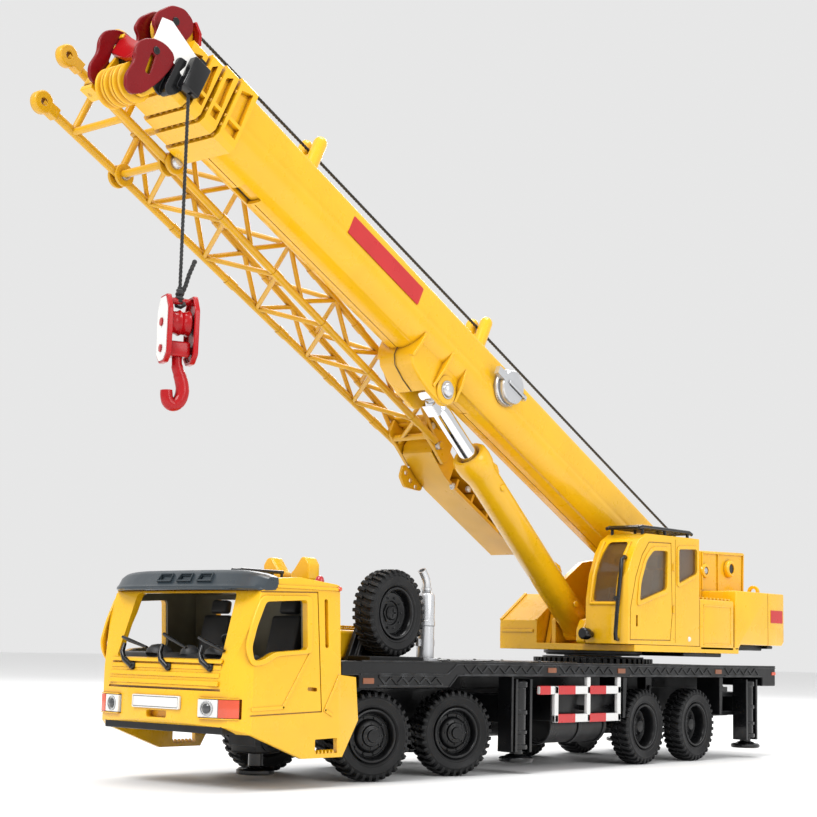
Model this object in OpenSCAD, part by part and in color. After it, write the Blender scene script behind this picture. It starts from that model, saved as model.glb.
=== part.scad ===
// Toy crane truck, four axles, about 1:55 scale. Millimetres, +X to the cab, +Y to the crane's left, +Z up.
// Every shape is drawn in the vehicle frame: X = 0 at the front lower corner of the cab's side skirt,
// Y = 0 on the centre plane, Z = 0 on the ground. place() then moves it to the part's own origin.

/* [Carrier] */
// Width of the cab and of the deck
body_w = 50; // [48:0.5:52]
// Height of the deck's top
deck_top = 29.4; // [29:0.1:30]
// Outside diameter of every tyre
tyre_d = 22.3; // [21.6:0.1:22.6]
// Width of every tyre
tyre_w = 6.4; // [5.6:0.1:6.6]
// Distance from the centre plane to the middle of a front tyre
front_track = 18; // [17.8:0.1:18.4]
// Distance from the centre plane to the middle of a rear tyre
rear_track = 20.8; // [20.4:0.1:21]
// Steering angle of the two front axles as stored, turned to the right
steer_angle = 20; // [0:1:22]

/* [Crane] */
// Elevation of the boom above the horizontal as stored
boom_angle = 26.2; // [20:0.1:40]
// Width of the boom's base section
boom_w = 16; // [15.6:0.1:16.4]
// Height of the boom's base section
boom_h = 17.4; // [17:0.1:17.8]
// Length that hangs from the boom head to the hook block's knot
hang_length = 47.6; // [40:0.1:60]
// Diameter of the hoist rope
rope_d = 0.9; // [0.7:0.1:1.1]

/* [Outriggers] */
// Diameter of a jack's leg
jack_d = 3.6; // [3:0.1:4]
// Diameter of a jack's pad
pad_d = 9.4; // [8:0.1:10]

/* [Hidden] */
$fn = 48;
fit = 0.06;               // radial clearance of every pin, axle and leg in its bore
half_w = body_w / 2;
wheel_r = tyre_d / 2;
axle_r = 1.2;
origin_x = -95.13;        // vehicle-frame point that becomes the part's origin
origin_y = -2.2;
front_axles = [-30.7, -64.1];
rear_axles = [-150.9, -180.9];
slew_x = -158;
rail_low = 12.6;
rail_top = 22.2;
deck_low = 25.8;
beam_reach = 19.4;        // half width of an outrigger box
box_x = [-98.6, -219.6];  // rear faces of the front and the rear outrigger box
box_len = 15.4;
beam_low = 14.9;
beam_high = 19.5;
pivot_x = -194;           // boom foot pin
pivot_z = 58.4;
foot_x = -150.5;          // lower pin of the luffing cylinder
foot_z = 39.6;
luff_u = 128.2;           // upper pin of the luffing cylinder, along and across the boom
luff_n = -11.8;
boom_r = boom_w / 2;
boom_top = boom_h / 2;
collar_u = 234;           // front face of the base section
head_axle = [257.3, -11.5];
top_axle = [252, 10.3];
jib_pin = [258.3, -10];   // upright pins that the stowed jib swings on: along the boom, and Y
rope_y = 9.1;
rope_u = 245.9;
rope_n = -6.5;
winch_x = -222;
winch_z = 62;
roller_x = -205.9;       // holes for the roller shaft in front of the winch
roller_z = 60.6;

// ---- helpers ----

module place() translate([-origin_x, -origin_y, 0]) children();

module box(low, high) translate(low) cube(high - low);

// A plate drawn in X and Z, from y0 to y1
module plate(points, y0, y1) translate([0, y1, 0]) rotate([90, 0, 0]) linear_extrude(y1 - y0) polygon(points);

// A plate drawn in Y and Z, from x0 to x1
module plate_x(points, x0, x1) translate([x0, 0, 0]) rotate([90, 0, 90]) linear_extrude(x1 - x0)
    polygon(points);

// A round bar along Y
module bar_y(x, z, r, y0, y1) translate([x, y0, z]) rotate([-90, 0, 0]) cylinder(r = r, h = y1 - y0);

module bar_z(x, y, r, z0, z1) translate([x, y, z0]) cylinder(r = r, h = z1 - z0);

// A straight eight-sided bar between two points
module strut(a, b, r) {
    d = b - a;
    translate(a) rotate([0, acos(d[2] / norm(d)), atan2(d[1], d[0])]) cylinder(r = r, h = norm(d), $fn = 8);
}

module mirrored() {
    children();
    mirror([0, 1, 0]) children();
}

// The boom's own frame: X along the boom from its foot pin, Z up across it
module on_boom() translate([pivot_x, 0, pivot_z]) rotate([0, -boom_angle, 0]) children();

// ---- carrier ----

module chassis_frame() place() color("#1b1c1e") {
    difference() {
        union() {
            mirrored() {
                box([-228, 5.5, rail_low], [12, 8.5, rail_top]);
                for (x = rear_axles) box([x - 4, 5.5, 8.4], [x + 4, 8.5, rail_low]);
            }
            for (x = [-226, -134, -104, -48, -10]) box([x, -5.5, rail_low + 1], [x + 6, 5.5, rail_top]);
            for (x = box_x) outrigger_box(x);
            mirrored() tank();
            for (x = front_axles) mirrored() {
                box([x - 4.4, 5.5, 8.6], [x + 4.4, 8.5, rail_low]);
                bar_z(x, 8.5, 2.4, 8.6, 13.4);
            }
            box([-14, -4.5, 8.4], [-5, 4.5, rail_top - 1]);
        }
        for (x = rear_axles) bar_y(x, wheel_r, axle_r + fit, -30, 30);
        for (x = front_axles) mirrored() {
            bar_z(x, 8.5, 1.1 + fit, 5, 15);
            box([x - 3, 6.9, 9.8], [x + 3, 12, 12.4]);
        }
        for (x = box_x) outrigger_cavity(x);
        bar_z(-10, 0, jack_d / 2 + fit, 5, 30);
    }
}

// Square tube across the frame that carries two outrigger beams side by side
module outrigger_box(x) box([x, -beam_reach, beam_low - 1.4], [x + box_len, beam_reach, beam_high + 1.4]);

module outrigger_cavity(x) for (side = [0, 1])
    box([x + 1 + side * 6.8, -30, beam_low - 0.1], [x + 7.6 + side * 6.8, 30, beam_high + 0.1]);

// Air and fuel tanks hung outside the rail, behind the side guard
module tank() {
    box([-136, 8.5, 13.5], [-104, 22, 22]);
    translate([-134, 15.5, 12.2]) rotate([0, 90, 0]) cylinder(r = 5.2, h = 27);
}

module deck() place() color("#202124") difference() {
    union() {
        plate([[-19.3, 23], [-19.3, deck_top - 3.2], [-12.9, deck_top - 3.2], [-12.9, deck_top],
            [-231, deck_top],
            [-231, 23], [-222, 23], [-222, deck_low], [-57.5, deck_low], [-54, 23]], -half_w, half_w);
        box([-222, -9.5, rail_top], [-54, 9.5, deck_low]);
        box([-54, -9.5, rail_top], [-20, 9.5, 23]);
    }
    bar_z(slew_x, 0, 9 + fit, 20, 40);
}

module slew_ring() place() color("#17181a") translate([slew_x, 0, deck_top]) difference() {
    union() {
        cylinder(r = 17.4, h = 2.2);
        for (i = [0 : 47]) rotate([0, 0, i * 7.5]) translate([17, -0.55, 0]) cube([1.6, 1.1, 1.7]);
    }
    translate([0, 0, -1]) cylinder(r = 9 + fit, h = 5);
}

// ---- truck cab ----

cab_side = [[22.6, 14.7], [0, 6.9], [-13.8, 6.9], [-19.2, 15.4], [-18, 25.6], [-12.6, 26.1], [-11.5, 46],
    [2.6, 48.2], [10.5, 47.6], [15, 44.8], [20.2, 29.2], [22.1, 22.6], [23, 21.6], [23, 15.4]];
cab_room = [[-11.2, 23.8], [-10.2, 44.8], [2.4, 46.8], [9.4, 46.3], [13.4, 43.6], [18.6, 29], [20.3, 23.8]];
door_window = [[12.4, 42.4], [0.4, 42.6], [-0.6, 31.8], [9.6, 31.4], [12, 29.6], [15.4, 29.6], [16.2, 32.2],
    [14.4, 37.4]];

// Seen from above: square at the back, with the two front corners cut off and a slightly bowed nose
module cab_plan(z0, z1) translate([0, 0, z0]) linear_extrude(z1 - z0) polygon([[-30, -half_w],
    [17.6, -half_w],
    [21.6, -20.4], [23.4, -9], [23.4, 9], [21.6, 20.4], [17.6, half_w], [-30, half_w]]);

module cab_shell() place() color("#f2b41c") difference() {
    intersection() {
        plate(cab_side, -half_w, half_w);
        cab_plan(0, 60);
    }
    plate(cab_room, -half_w + 1.4, half_w - 1.4);
    box([-30, -half_w + 1.2, 0], [16.8, half_w - 1.2, rail_top]);
    box([-30, -half_w + 1.2, 20], [-12.9, half_w - 1.2, 30]);
    box([8, -17.4, 29.8], [40, 17.4, 44]);
    plate(door_window, -40, 40);
    box([-20, -13, 33], [-5, 13, 43]);
    box([16, -3.2, 15.8], [30, 3.2, 17.1]);
    box([-12, -40, 8.2], [-4.2, 40, 11]);
    mirrored() box([21.3, 13.4, 16.1], [30, 26, 20.4]);
}

module cab_visor() place() color("#3d4a52") difference() {
    intersection() {
        plate([[19.6, 45.1], [19.4, 46], [17.4, 48.4], [13.6, 49.8], [9.6, 50], [9.6, 47.7], [10.5, 47.65],
            [14.9, 44.9]], -half_w, half_w);
        translate([0, 0, 40]) linear_extrude(12) polygon([[5, -25], [14.6, -25], [18, -19], [19.6, -9],
            [19.6, 9], [18, 19], [14.6, 25], [5, 25]]);
    }
    plate(cab_side, -30, 30);
}

// Dashboard, steering wheel and two seats, standing on the cab's floor
module cab_interior() place() color("#35383b") {
    plate([[12.4, 23.8], [12.4, 29.4], [14, 31], [17, 29.4], [19.6, 23.8]], -22, 22);
    for (side = [-1, 1]) translate([0, side * 12, 0]) {
        box([-8, -5.5, 23.8], [4, 5.5, 28]);
        plate([[-8, 28], [-9.4, 41], [-6.6, 41.2], [-4.6, 28]], -5, 5);
    }
    translate([9.5, 12, 32.2]) rotate([0, -38, 0]) difference() {
        cylinder(r = 4, h = 0.9);
        translate([0, 0, -1]) cylinder(r = 3.1, h = 3);
    }
    strut([13.2, 12, 29.6], [9.8, 12, 32.6], 0.6);
    translate([9.5, 12, 32.2]) rotate([0, -38, 0]) translate([-0.5, -3.5, 0]) cube([1, 7, 0.7]);
}

module headlamps() place() color("#e8e8e4") mirrored() intersection() {
    box([21.4, 13.5, 16.2], [23.6, 24.6, 20.3]);
    translate([0, 0, 10]) linear_extrude(20) polygon([[20, 13.5], [23.75, 13.5], [22.3, 20.4], [21, 24.6],
        [20, 24.6]]);
}

// Cradle behind the cab's roof that the boom is lowered into: two posts, a cross bar and a V of two prongs
module boom_rest() place() color("#f2b41c") {
    box([-23.4, -8, deck_top], [-17.6, 8, deck_top + 1.4]);
    mirrored() {
        box([-21.8, 3.9, deck_top + 1.4], [-18.9, 6.5, 46.2]);
        plate_x([[1.6, 49.2], [8, 49.2], [8, 53], [6.8, 54.7], [5.2, 54.9], [2.6, 51.6], [1.6, 50.9]],
            -22.4, -18.3);
    }
    box([-22, -7, 46.2], [-18.7, 7, 49.2]);
}

module engine_cover() place() color("#f2b41c") {
    box([-44, -16, deck_top], [-24.4, 8.2, 37]);
    box([-41.5, -12, 37], [-27.5, 6.5, 38.2]);
}

exhaust_at = [-57.5, 14];
module exhaust() place() color("#c9cccd") translate([exhaust_at[0], exhaust_at[1], 0]) {
    bar_z(0, 0, 3.6, deck_top, deck_top + 0.9);
    bar_z(0, 0, 2.2, deck_top + 0.9, 47.6);
    bar_z(0, 0, 1.2, 47.6, 50.4);
    translate([0, 0, 50.4]) sphere(r = 1.2);
    strut([0, 0, 50.4], [2, 0, 53.4], 1.2);
}

spare_at = [-41.5, 41.6];
module spare_bracket() place() color("#1b1c1e") {
    plate([[-31, deck_top], [-38.2, 45], [-44.8, 45], [-52, deck_top]], 9, 10.4);
    box([-52, 10.4, deck_top], [-31, 18, deck_top + 0.8]);
    bar_y(spare_at[0], spare_at[1], 1.5, 10.4, 12.9);
}

module spare_wheel() place() color("#26282a") translate([spare_at[0], 14.8, spare_at[1]]) rotate([90, 0, 0]) {
    tyre_shape();
    rim_shape();
}

// Open frame of posts and rails on each side, between the outriggers and the rear wheels
module side_guards() place() color("#e9e9e6") mirrored() {
    for (x = [-103.5, -119.5, -135.4]) box([x, half_w - 1.2, 13.2],
        [x + 1.8, half_w - 0.1, x < -135 ? 25.8 : 23.3]);
    for (z = [13.2, 21.1]) for (x = [-133.6, -117.7]) box([x, half_w - 1.2, z],
        [x + 14.1, half_w - 0.1, z + 2.2]);
    box([-119.5, half_w - 1.2, 23.3], [-117.7, half_w - 0.1, 25.8]);
    for (x = [-135.4, -119.5]) box([x, 22, 16.2], [x + 1.8, half_w - 1.2, 18.2]);
}

// ---- wheels ----

// Tyre about Z: a casing with sloping shoulders and a plain band for the tread
module tyre_shape() difference() {
    union() {
        rotate_extrude($fn = 72) polygon([[6.7, -tyre_w / 2 + 0.7], [7.6, -tyre_w / 2], [9.4, -tyre_w / 2],
            [wheel_r - 0.7, -tyre_w / 2 + 0.8], [wheel_r - 0.7, tyre_w / 2 - 0.8], [9.4, tyre_w / 2],
            [7.6, tyre_w / 2], [6.7, tyre_w / 2 - 0.7]]);
        cylinder(r = wheel_r, h = tyre_w - 2.4, center = true, $fn = 72);
    }
    cylinder(r = 6.7, h = tyre_w + 1, center = true);
}

module rim_shape(bore = 0) difference() {
    union() {
        difference() {
            cylinder(r = 6.7, h = tyre_w - 1.4, center = true);
            translate([0, 0, 0.9]) cylinder(r = 5.7, h = tyre_w);
            translate([0, 0, -0.9 - tyre_w]) cylinder(r = 5.7, h = tyre_w);
        }
        cylinder(r = 3, h = tyre_w - 2.6, center = true);
    }
    if (bore > 0) cylinder(r = bore, h = tyre_w + 1, center = true);
}

// Frame of one front wheel: Z becomes the wheel's axle, pointing outwards, turned by the steering angle
module front_wheel(i, side) translate([front_axles[i], side * front_track, wheel_r])
    rotate([0, 0, -steer_angle]) rotate([-90 * side, 0, 0]) children();

// Kingpin in the frame's fork, arm out to the wheel, and the stub axle that the wheel turns on
module knuckle(i, side) place() color("#2a2c2e") {
    x = front_axles[i];
    difference() {
        translate([x, side * front_track, wheel_r]) rotate([0, 0, -steer_angle]) rotate([-90 * side, 0, 0])
            translate([0, 0, -5.2]) cylinder(r = axle_r, h = 8.1);
        bar_z(x, side * 8.5, 0.9, 0, 30);
    }
    bar_z(x, side * 8.5, 1.1, 8.8, 13.2);
    steer_arm(x, side);
}

module steer_arm(x, side) difference() {
    box([x - 1.5, side > 0 ? 8.5 : -13, 10], [x + 1.5, side > 0 ? 13 : -8.5, 12.2]);
    bar_z(x, side * 8.5, 1.1, 0, 30);
}

module knuckle_left_1() knuckle(0, 1);
module knuckle_left_2() knuckle(1, 1);
module knuckle_right_1() knuckle(0, -1);
module knuckle_right_2() knuckle(1, -1);

module front_tyre(i, side) place() color("#26282a") front_wheel(i, side) tyre_shape();
module front_rim(i, side) place() color("#303335") front_wheel(i, side) rim_shape(axle_r + fit);

module tyre_left_1() front_tyre(0, 1);
module tyre_left_2() front_tyre(1, 1);
module tyre_right_1() front_tyre(0, -1);
module tyre_right_2() front_tyre(1, -1);
module rim_left_1() front_rim(0, 1);
module rim_left_2() front_rim(1, 1);
module rim_right_1() front_rim(0, -1);
module rim_right_2() front_rim(1, -1);

module rear_tyres(i) place() color("#26282a") mirrored()
    translate([rear_axles[i], rear_track, wheel_r]) rotate([-90, 0, 0]) tyre_shape();

// Two rims fixed on one through axle
module rear_wheelset(i) place() color("#303335") {
    mirrored() translate([rear_axles[i], rear_track, wheel_r]) rotate([-90, 0, 0]) rim_shape(axle_r);
    bar_y(rear_axles[i], wheel_r, axle_r, -rear_track - 2.4, rear_track + 2.4);
}

module tyres_rear_1() rear_tyres(0);
module tyres_rear_2() rear_tyres(1);
module wheelset_rear_1() rear_wheelset(0);
module wheelset_rear_2() rear_wheelset(1);

// ---- outriggers ----

// Sliding beam with an upright jack sleeve on its outer end; slot 0 is the rear one of a box
module beam(x, slot, side) place() color("#1e2022") {
    x0 = x + 1.1 + slot * 6.8;
    centre = x0 + 3.2;
    difference() {
        union() {
            box([x0, side > 0 ? -12 : -19.7, beam_low], [x0 + 6.4, side > 0 ? 19.7 : 12, beam_high]);
            box([centre - 3.2, side > 0 ? 19.7 : -24.6, 6.4], [centre + 3.2, side > 0 ? 24.6 : -19.7, 25]);
        }
        bar_z(centre, side * 22.1, jack_d / 2 + fit, 0, 30);
    }
}

module jack(x, y, low, high) place() color("#2b2d30") {
    bar_z(x, y, pad_d / 2, low, low + 1.7);
    bar_z(x, y, jack_d / 2, low + 1.7, high);
}

module beam_front_left() beam(box_x[0], 1, 1);
module beam_front_right() beam(box_x[0], 0, -1);
module beam_rear_left() beam(box_x[1], 0, 1);
module beam_rear_right() beam(box_x[1], 1, -1);
module jack_front_left() jack(box_x[0] + 11.1, 22.1, 3, 24.2);
module jack_front_right() jack(box_x[0] + 4.3, -22.1, 3, 24.2);
module jack_rear_left() jack(box_x[1] + 4.3, 22.1, 3, 24.2);
module jack_rear_right() jack(box_x[1] + 11.1, -22.1, 3, 24.2);
module jack_centre() jack(-10, 0, 1.4, 20.4);

// ---- turntable ----

foot_plate = [[-147, 35.4], [-152.5, 54], [-165, 61.5], [-186, 64.5], [-194, 67.6], [-202, 64.5],
    [-204.2, 35.4]];

// Floor with the slewing spigot, two foot plates that hold the boom's pin, and the cylinder's lower pin
module turntable_frame() place() color("#e5a81a") difference() {
    union() {
        box([-206, -half_w, 33.4], [-142.7, half_w, 35.4]);
        bar_z(slew_x, 0, 14, 32, 33.4);
        bar_z(slew_x, 0, 9, 24, 32);
        mirrored() {
            plate(foot_plate, 8.8, 10.6);
            plate([[-145, 35.4], [-145, 42.6], [-148, 44.4], [-153, 44.4], [-156, 42], [-156, 35.4]],
                5.2, 6.8);
            bar_y(pivot_x, pivot_z, 4.4, 8.3, 8.8);
            bar_y(pivot_x, pivot_z, 4.2, 10.6, 11.2);
        }
        plate([[-142.7, 35.4], [-142.7, 42.3], [-156, 51], [-158.5, 51], [-158.5, 35.4]], -half_w, -10.8);
        bar_y(pivot_x, pivot_z, 2.2, -11.6, 11.6);
        bar_y(foot_x, foot_z, 1.2, -7.4, 7.4);
    }
}

// ---- crane cab ----

crane_side = [[-137, 33.4], [-137, 48.4], [-139, 57], [-142.4, 64], [-145.6, 67.6], [-150, 69.1],
    [-176, 69.1],
    [-179.4, 68], [-180.7, 65], [-180.7, 35.5], [-176, 33.4]];

// Hollow cab with openings for the windscreen, the door's window and the rear quarter window
module crane_cab() place() color("#f2b41c") difference() {
    plate([for (p = crane_side) [p[0], max(p[1], 35.5)]], 11.2, half_w);
    plate([[-138.6, 37], [-138.6, 48.6], [-140.6, 56.6], [-143.8, 63.4], [-146.6, 66.4], [-150.4, 67.5],
        [-175.8, 67.5], [-178.4, 66.6], [-179.2, 64.6], [-179.2, 37]], 12.6, half_w - 1.4);
    box([-145, 14, 48.4], [-130, 22.6, 66]);
    plate([[-151.2, 64], [-158.2, 64.2], [-157.8, 51.6], [-144.9, 48.6], [-146.9, 56.4]], 20, 30);
    plate([[-168.2, 65.2], [-178, 65.4], [-178, 58.4], [-168.2, 54.8]], 20, 30);
}

// Windscreen and two side windows, set into the cab's openings
module crane_cab_glass() place() color([0.35, 0.25, 0.12, 0.6]) {
    intersection() {
        difference() {
            plate([for (p = crane_side) [p[0] - 0.2, p[1]]], 14.1, 22.5);
            plate([for (p = crane_side) [p[0] - 0.9, p[1]]], 14, 22.6);
        }
        box([-144.9, 14.1, 48.5], [-130, 22.5, 65.9]);
    }
    plate([[-151.2, 63.8], [-158, 64], [-157.6, 51.8], [-145.2, 48.9], [-147.1, 56.4]],
        half_w - 1.1, half_w - 0.4);
    plate([[-168.4, 65], [-177.8, 65.2], [-177.8, 58.5], [-168.4, 55.1]], half_w - 1.1, half_w - 0.4);
}

// Side boxes beside the boom's foot, and the tall box over the counterweight that holds the winch
module machine_housing() place() color("#eeb01b") difference() {
    union() {
        mirrored() box([-202.8, 11.4, 35.4], [-181.2, half_w, 50.6]);
        mirrored() plate([[-204.6, 53.9], [-204.6, 67.2], [-233, 68], [-232.4, 53.9]], 10.4, 12.2);
        plate([[-230.8, 53.9], [-231, 67.4], [-232.6, 67.4], [-232.2, 53.9]], -10.4, 10.4);
    }
    bar_y(winch_x, winch_z, 1.5 + fit, -20, 20);
    bar_y(roller_x, roller_z, 1.2, -20, 20);
}

module counterweight() place() color("#efb21d") difference() {
    plate([[-203.2, 36.2], [-203.2, 53.9], [-237.4, 53.9], [-237.8, 52], [-237.8, 38], [-236, 36.2]],
        -half_w, half_w);
    box([-204.4, -11, 30], [-200, 11, 60]);
}

module winch_drum() place() color("#33363a") {
    bar_y(winch_x, winch_z, 1.5, -13, 13);
    bar_y(winch_x, winch_z, 3.4, -9.4, 9.4);
    for (y = [-9.9, 8.9]) bar_y(winch_x, winch_z, 5.2, y, y + 1);
}

// ---- luffing cylinder ----

// The cylinder's own frame: X from its lower pin to its upper pin
upper_pin = [pivot_x + luff_u * cos(boom_angle) - luff_n * sin(boom_angle),
    pivot_z + luff_u * sin(boom_angle) + luff_n * cos(boom_angle)];
luff_length = norm([upper_pin[0] - foot_x, upper_pin[1] - foot_z]);
luff_slope = atan2(upper_pin[1] - foot_z, upper_pin[0] - foot_x);
module on_cylinder() translate([foot_x, 0, foot_z]) rotate([0, 90 - luff_slope, 0]) children();

module luff_barrel() place() color("#f0b11c") on_cylinder() difference() {
    union() {
        rotate([90, 0, 0]) cylinder(r = 3.6, h = 8, center = true);
        translate([0, 0, 2]) cylinder(r = 4.6, h = 78);
        translate([0, 0, 76.5]) cylinder(r = 5.3, h = 5.5);
        translate([-5.4, -1, 74]) cube([3, 2, 3]);
        translate([-5.4, -1, 22]) cube([3, 2, 3]);
    }
    translate([0, 0, 8]) cylinder(r = 2.6 + fit, h = 90);
    rotate([90, 0, 0]) cylinder(r = 1.2 + fit, h = 20, center = true);
}

// Chrome rod; its eye stops short of the two stub pins, which is where the linkage is opened
module luff_rod() place() color("#d8dadc") on_cylinder() difference() {
    union() {
        translate([0, 0, 30]) cylinder(r = 2.6, h = luff_length - 32);
        translate([0, 0, luff_length]) rotate([90, 0, 0]) cylinder(r = 2.45, h = 4, center = true);
    }
    translate([0, 0, luff_length]) rotate([90, 0, 0]) cylinder(r = 1.4, h = 10, center = true);
}

// ---- boom ----

// Flat top and sides over a half-round belly
module section_outline(r, top) {
    translate([0, -0.7]) circle(r = r);
    translate([-r, -0.7]) square([2 * r, top + 0.7]);
}

module section_bar(u0, u1, r, top) translate([u0, 0, 0]) rotate([90, 0, 90])
    linear_extrude(u1 - u0) section_outline(r, top);

// Square frame round a section's mouth, with pockets that leave ribs in its sides
module collar(u0, u1, half, low, high) difference() {
    box([u0, -half, low], [u1, half, high]);
    for (side = [-1, 1]) for (n = [low + 2, 0.6]) translate([u0 + 1, side * half - 0.7, n])
        cube([u1 - u0 - 2, 1.4, high - 2.8 > 5 ? 5.6 : 4]);
}

module boom_base() place() color("#f5b71d") on_boom() difference() {
    union() {
        section_bar(0, collar_u, boom_r, boom_top);
        rotate([90, 0, 0]) cylinder(r = boom_top, h = boom_w, center = true);
        collar(228, collar_u, 9.5, -9.5, 9.6);
        luff_bracket();
    }
    section_bar(24, collar_u + 1, 6.95, 7.65);
    rotate([90, 0, 0]) cylinder(r = 2.2 + fit, h = 30, center = true);
    box([209.5, -2.6, -12], [216, 2.6, -6]);
    luff_slot();
}

// Two cheeks under the boom with a stub pin in each, clear of the rod's eye between them
module luff_bracket() {
    for (side = [-1, 1]) plate([[112, -3], [119, -9], [luff_u - 4.2, luff_n - 2.4], [luff_u, luff_n - 4.2],
        [luff_u + 5, luff_n - 4], [140, -17.6], [150, -14], [151, -3]],
        side > 0 ? 4.4 : -6.2, side > 0 ? 6.2 : -4.4);
    box([146, -4.4, -13.4], [150, 4.4, -7]);
    for (side = [-1, 1]) bar_y(luff_u, luff_n, 1.9, side > 0 ? 6.2 : -7.2, side > 0 ? 7.2 : -6.2);
}

// Room for the rod's eye and the barrel's collar, with a shallow relief in the belly over the eye
module luff_slot() {
    box([112, -4.4, -30], [146, 4.4, -8.5]);
    box([123.5, -2.4, -9], [132.5, 2.4, -8.1]);
}

module rope_guides() place() color("#f5b71d") on_boom() {
    for (u = [118, 199.6]) for (side = [-1, 1]) {
        translate([u, side * 2, boom_top]) cylinder(r = 1.5, h = 11.2);
        translate([u, side * 2, boom_top + 11.2]) sphere(r = 1.5);
    }
    for (u = [118, 199.6]) box([u - 1.5, -2, boom_top], [u + 1.5, 2, boom_top + 5.4]);
    translate([107.2, boom_r, 2.7]) rotate([-90, 0, 0]) cylinder(r = 5.3, h = 1.4);
}

module boom_section(u0, u1, r, top, inner_r, inner_top, collar_u0, half, low, high) difference() {
    union() {
        section_bar(u0, u1, r, top);
        collar(collar_u0, u1, half, low, high);
    }
    section_bar(u0 - 1, u1 + 1, inner_r, inner_top);
}

module boom_section_2() place() color("#f2b41c") on_boom()
    boom_section(70, 239.2, 6.7, 7.4, 5.75, 6.35, 234.9, 9, -9.1, 9.2);

module boom_section_3() place() color("#efb01a") on_boom()
    boom_section(76, 243.7, 5.5, 6.1, 4.55, 5.05, 240.1, 8.4, -8.7, 8.8);

head_plate = [[244.8, -7.4], [251, -8.4], [254.6, -14.2], [258.6, -14.8], [260.6, -11.5], [260, -6],
    [256, 10],
    [253.6, 13], [250.4, 13], [248.6, 9], [244.8, 8]];

// Innermost section with the boom head: mouth block, two side plates, two sheave axles and the jib's pins
module boom_section_4() place() color("#f2b41c") on_boom() difference() {
    union() {
        section_bar(82, 245, 4.3, 4.8);
        difference() {
            box([244.6, -7.4, -8.2], [249.4, 7.4, 8.2]);
            bar_y(top_axle[0], top_axle[1], 6.1, -2.2, 2.2);
        }
        for (side = [-1, 1]) plate(head_plate, side > 0 ? 4.9 : -6.1, side > 0 ? 6.1 : -4.9);
        bar_y(head_axle[0], head_axle[1], axle_r, -7.45, 8.4);
        bar_y(top_axle[0], top_axle[1], axle_r, -6.6, 6.6);
        box([243.9, 7.4, -6.5], [249.4, 10.8, 2.4]);
        for (n = [-12.8, 2.6]) {
            box([jib_pin[0] - 2.2, jib_pin[1] - 1.6, n], [jib_pin[0] + 2.2, n > 0 ? -5 : -7.4, n + 1.3]);
            translate([jib_pin[0], jib_pin[1], n]) cylinder(r = 0.9, h = 4.2);
        }
    }
    rope_mouth();
}

// Rounded relief under the black block, where the hanging rope leaves it at any angle of the boom
module rope_mouth() translate([rope_u, rope_y, rope_n]) sphere(r = 1);

// Red plates outside the lower sheaves and on both sides of the top sheave
module head_cheeks() place() color("#8f1218") on_boom() difference() {
    union() {
        for (side = [-1, 1]) {
            cheek([head_axle, [256.4, -3.4]], 4.6, side > 0 ? 6.1 : -7.3, side > 0 ? 7.3 : -6.1);
            bar_y(top_axle[0], top_axle[1], 6.4, side > 0 ? 2.6 : -3.8, side > 0 ? 3.8 : -2.6);
        }
    }
    bar_y(head_axle[0], head_axle[1], axle_r, -20, 20);
    bar_y(top_axle[0], top_axle[1], axle_r, -20, 20);
    for (n = [-5.8, -2.4]) bar_y(256.6, n, 1.3, -20, 20);
    box([255.3, -20, -5.8], [257.9, 20, -2.4]);
    box([240, -20, -2], [249.5, 20, 8.3]);
}

// Plate with two round ends
module cheek(ends, r, y0, y1) {
    a = ends[0];
    b = ends[1];
    side = [b[1] - a[1], a[0] - b[0]] / norm(b - a) * r;
    for (p = ends) bar_y(p[0], p[1], r, y0, y1);
    plate([a + side, b + side, b - side, a - side], y0, y1);
}

// Pulley about Z with a rope groove
module sheave(r, w, bore) rotate_extrude() polygon([[bore, -w / 2], [r, -w / 2], [r - 0.9, -w / 6],
    [r - 0.9, w / 6], [r, w / 2], [bore, w / 2]]);

module head_sheaves() place() color("#f0a818") on_boom() translate([head_axle[0], 0, head_axle[1]])
    for (y = [-3, 0, 3]) translate([0, y, 0]) rotate([90, 0, 0]) sheave(5.6, 2.99, axle_r + fit);

module top_sheave() place() color("#f0a818") on_boom() translate([top_axle[0], 0, top_axle[1]])
    rotate([90, 0, 0]) sheave(5.6, 3.6, axle_r + fit);

// ---- rope ----

// A tube of eight sides along a list of points
function ring(p, dir, r) = let (
        d = dir / norm(dir),
        a = abs(d[1]) < 0.9 ? cross(d, [0, 1, 0]) / norm(cross(d, [0, 1, 0])) : [1, 0, 0],
        b = cross(a, d))
    [for (i = [0 : 7]) p + r * (cos(i * 45) * a + sin(i * 45) * b)];

module tube(path, r) {
    n = len(path);
    rings = [for (i = [0 : n - 1]) ring(path[i], path[min(i + 1, n - 1)] - path[max(i - 1, 0)], r)];
    polyhedron(
        points = [for (k = rings) for (p = k) p],
        faces = concat([[for (i = [0 : 7]) i]], [[for (i = [7 : -1 : 0]) (n - 1) * 8 + i]],
            [for (k = [0 : n - 2]) for (i = [0 : 7]) let (j = (i + 1) % 8)
                [k * 8 + i, (k + 1) * 8 + i, (k + 1) * 8 + j, k * 8 + j]]));
}

// Along the boom's top, from the drum between the guides to the top sheave, in the boom's frame
rope_route = [[-21, 0, 18.6], [40, 0, 18.1], [118, 0, 17.6], [160, 0, 17.1], [199.6, 0, 16.7], [232, 0, 16.2],
    [250.4, 0, 15.9]];
module rope_run() place() color("#1a1a1a") on_boom() tube(rope_route, rope_d / 2);

hang_top = [pivot_x + rope_u * cos(boom_angle) - rope_n * sin(boom_angle), rope_y,
    pivot_z + rope_u * sin(boom_angle) + rope_n * cos(boom_angle)];
module hoist_rope() place() color("#1a1a1a")
    tube([for (i = [0 : 16]) hang_top - [0, 0, 0.1 + i * hang_length / 16]], rope_d / 2);

// ---- hook block ----

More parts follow.
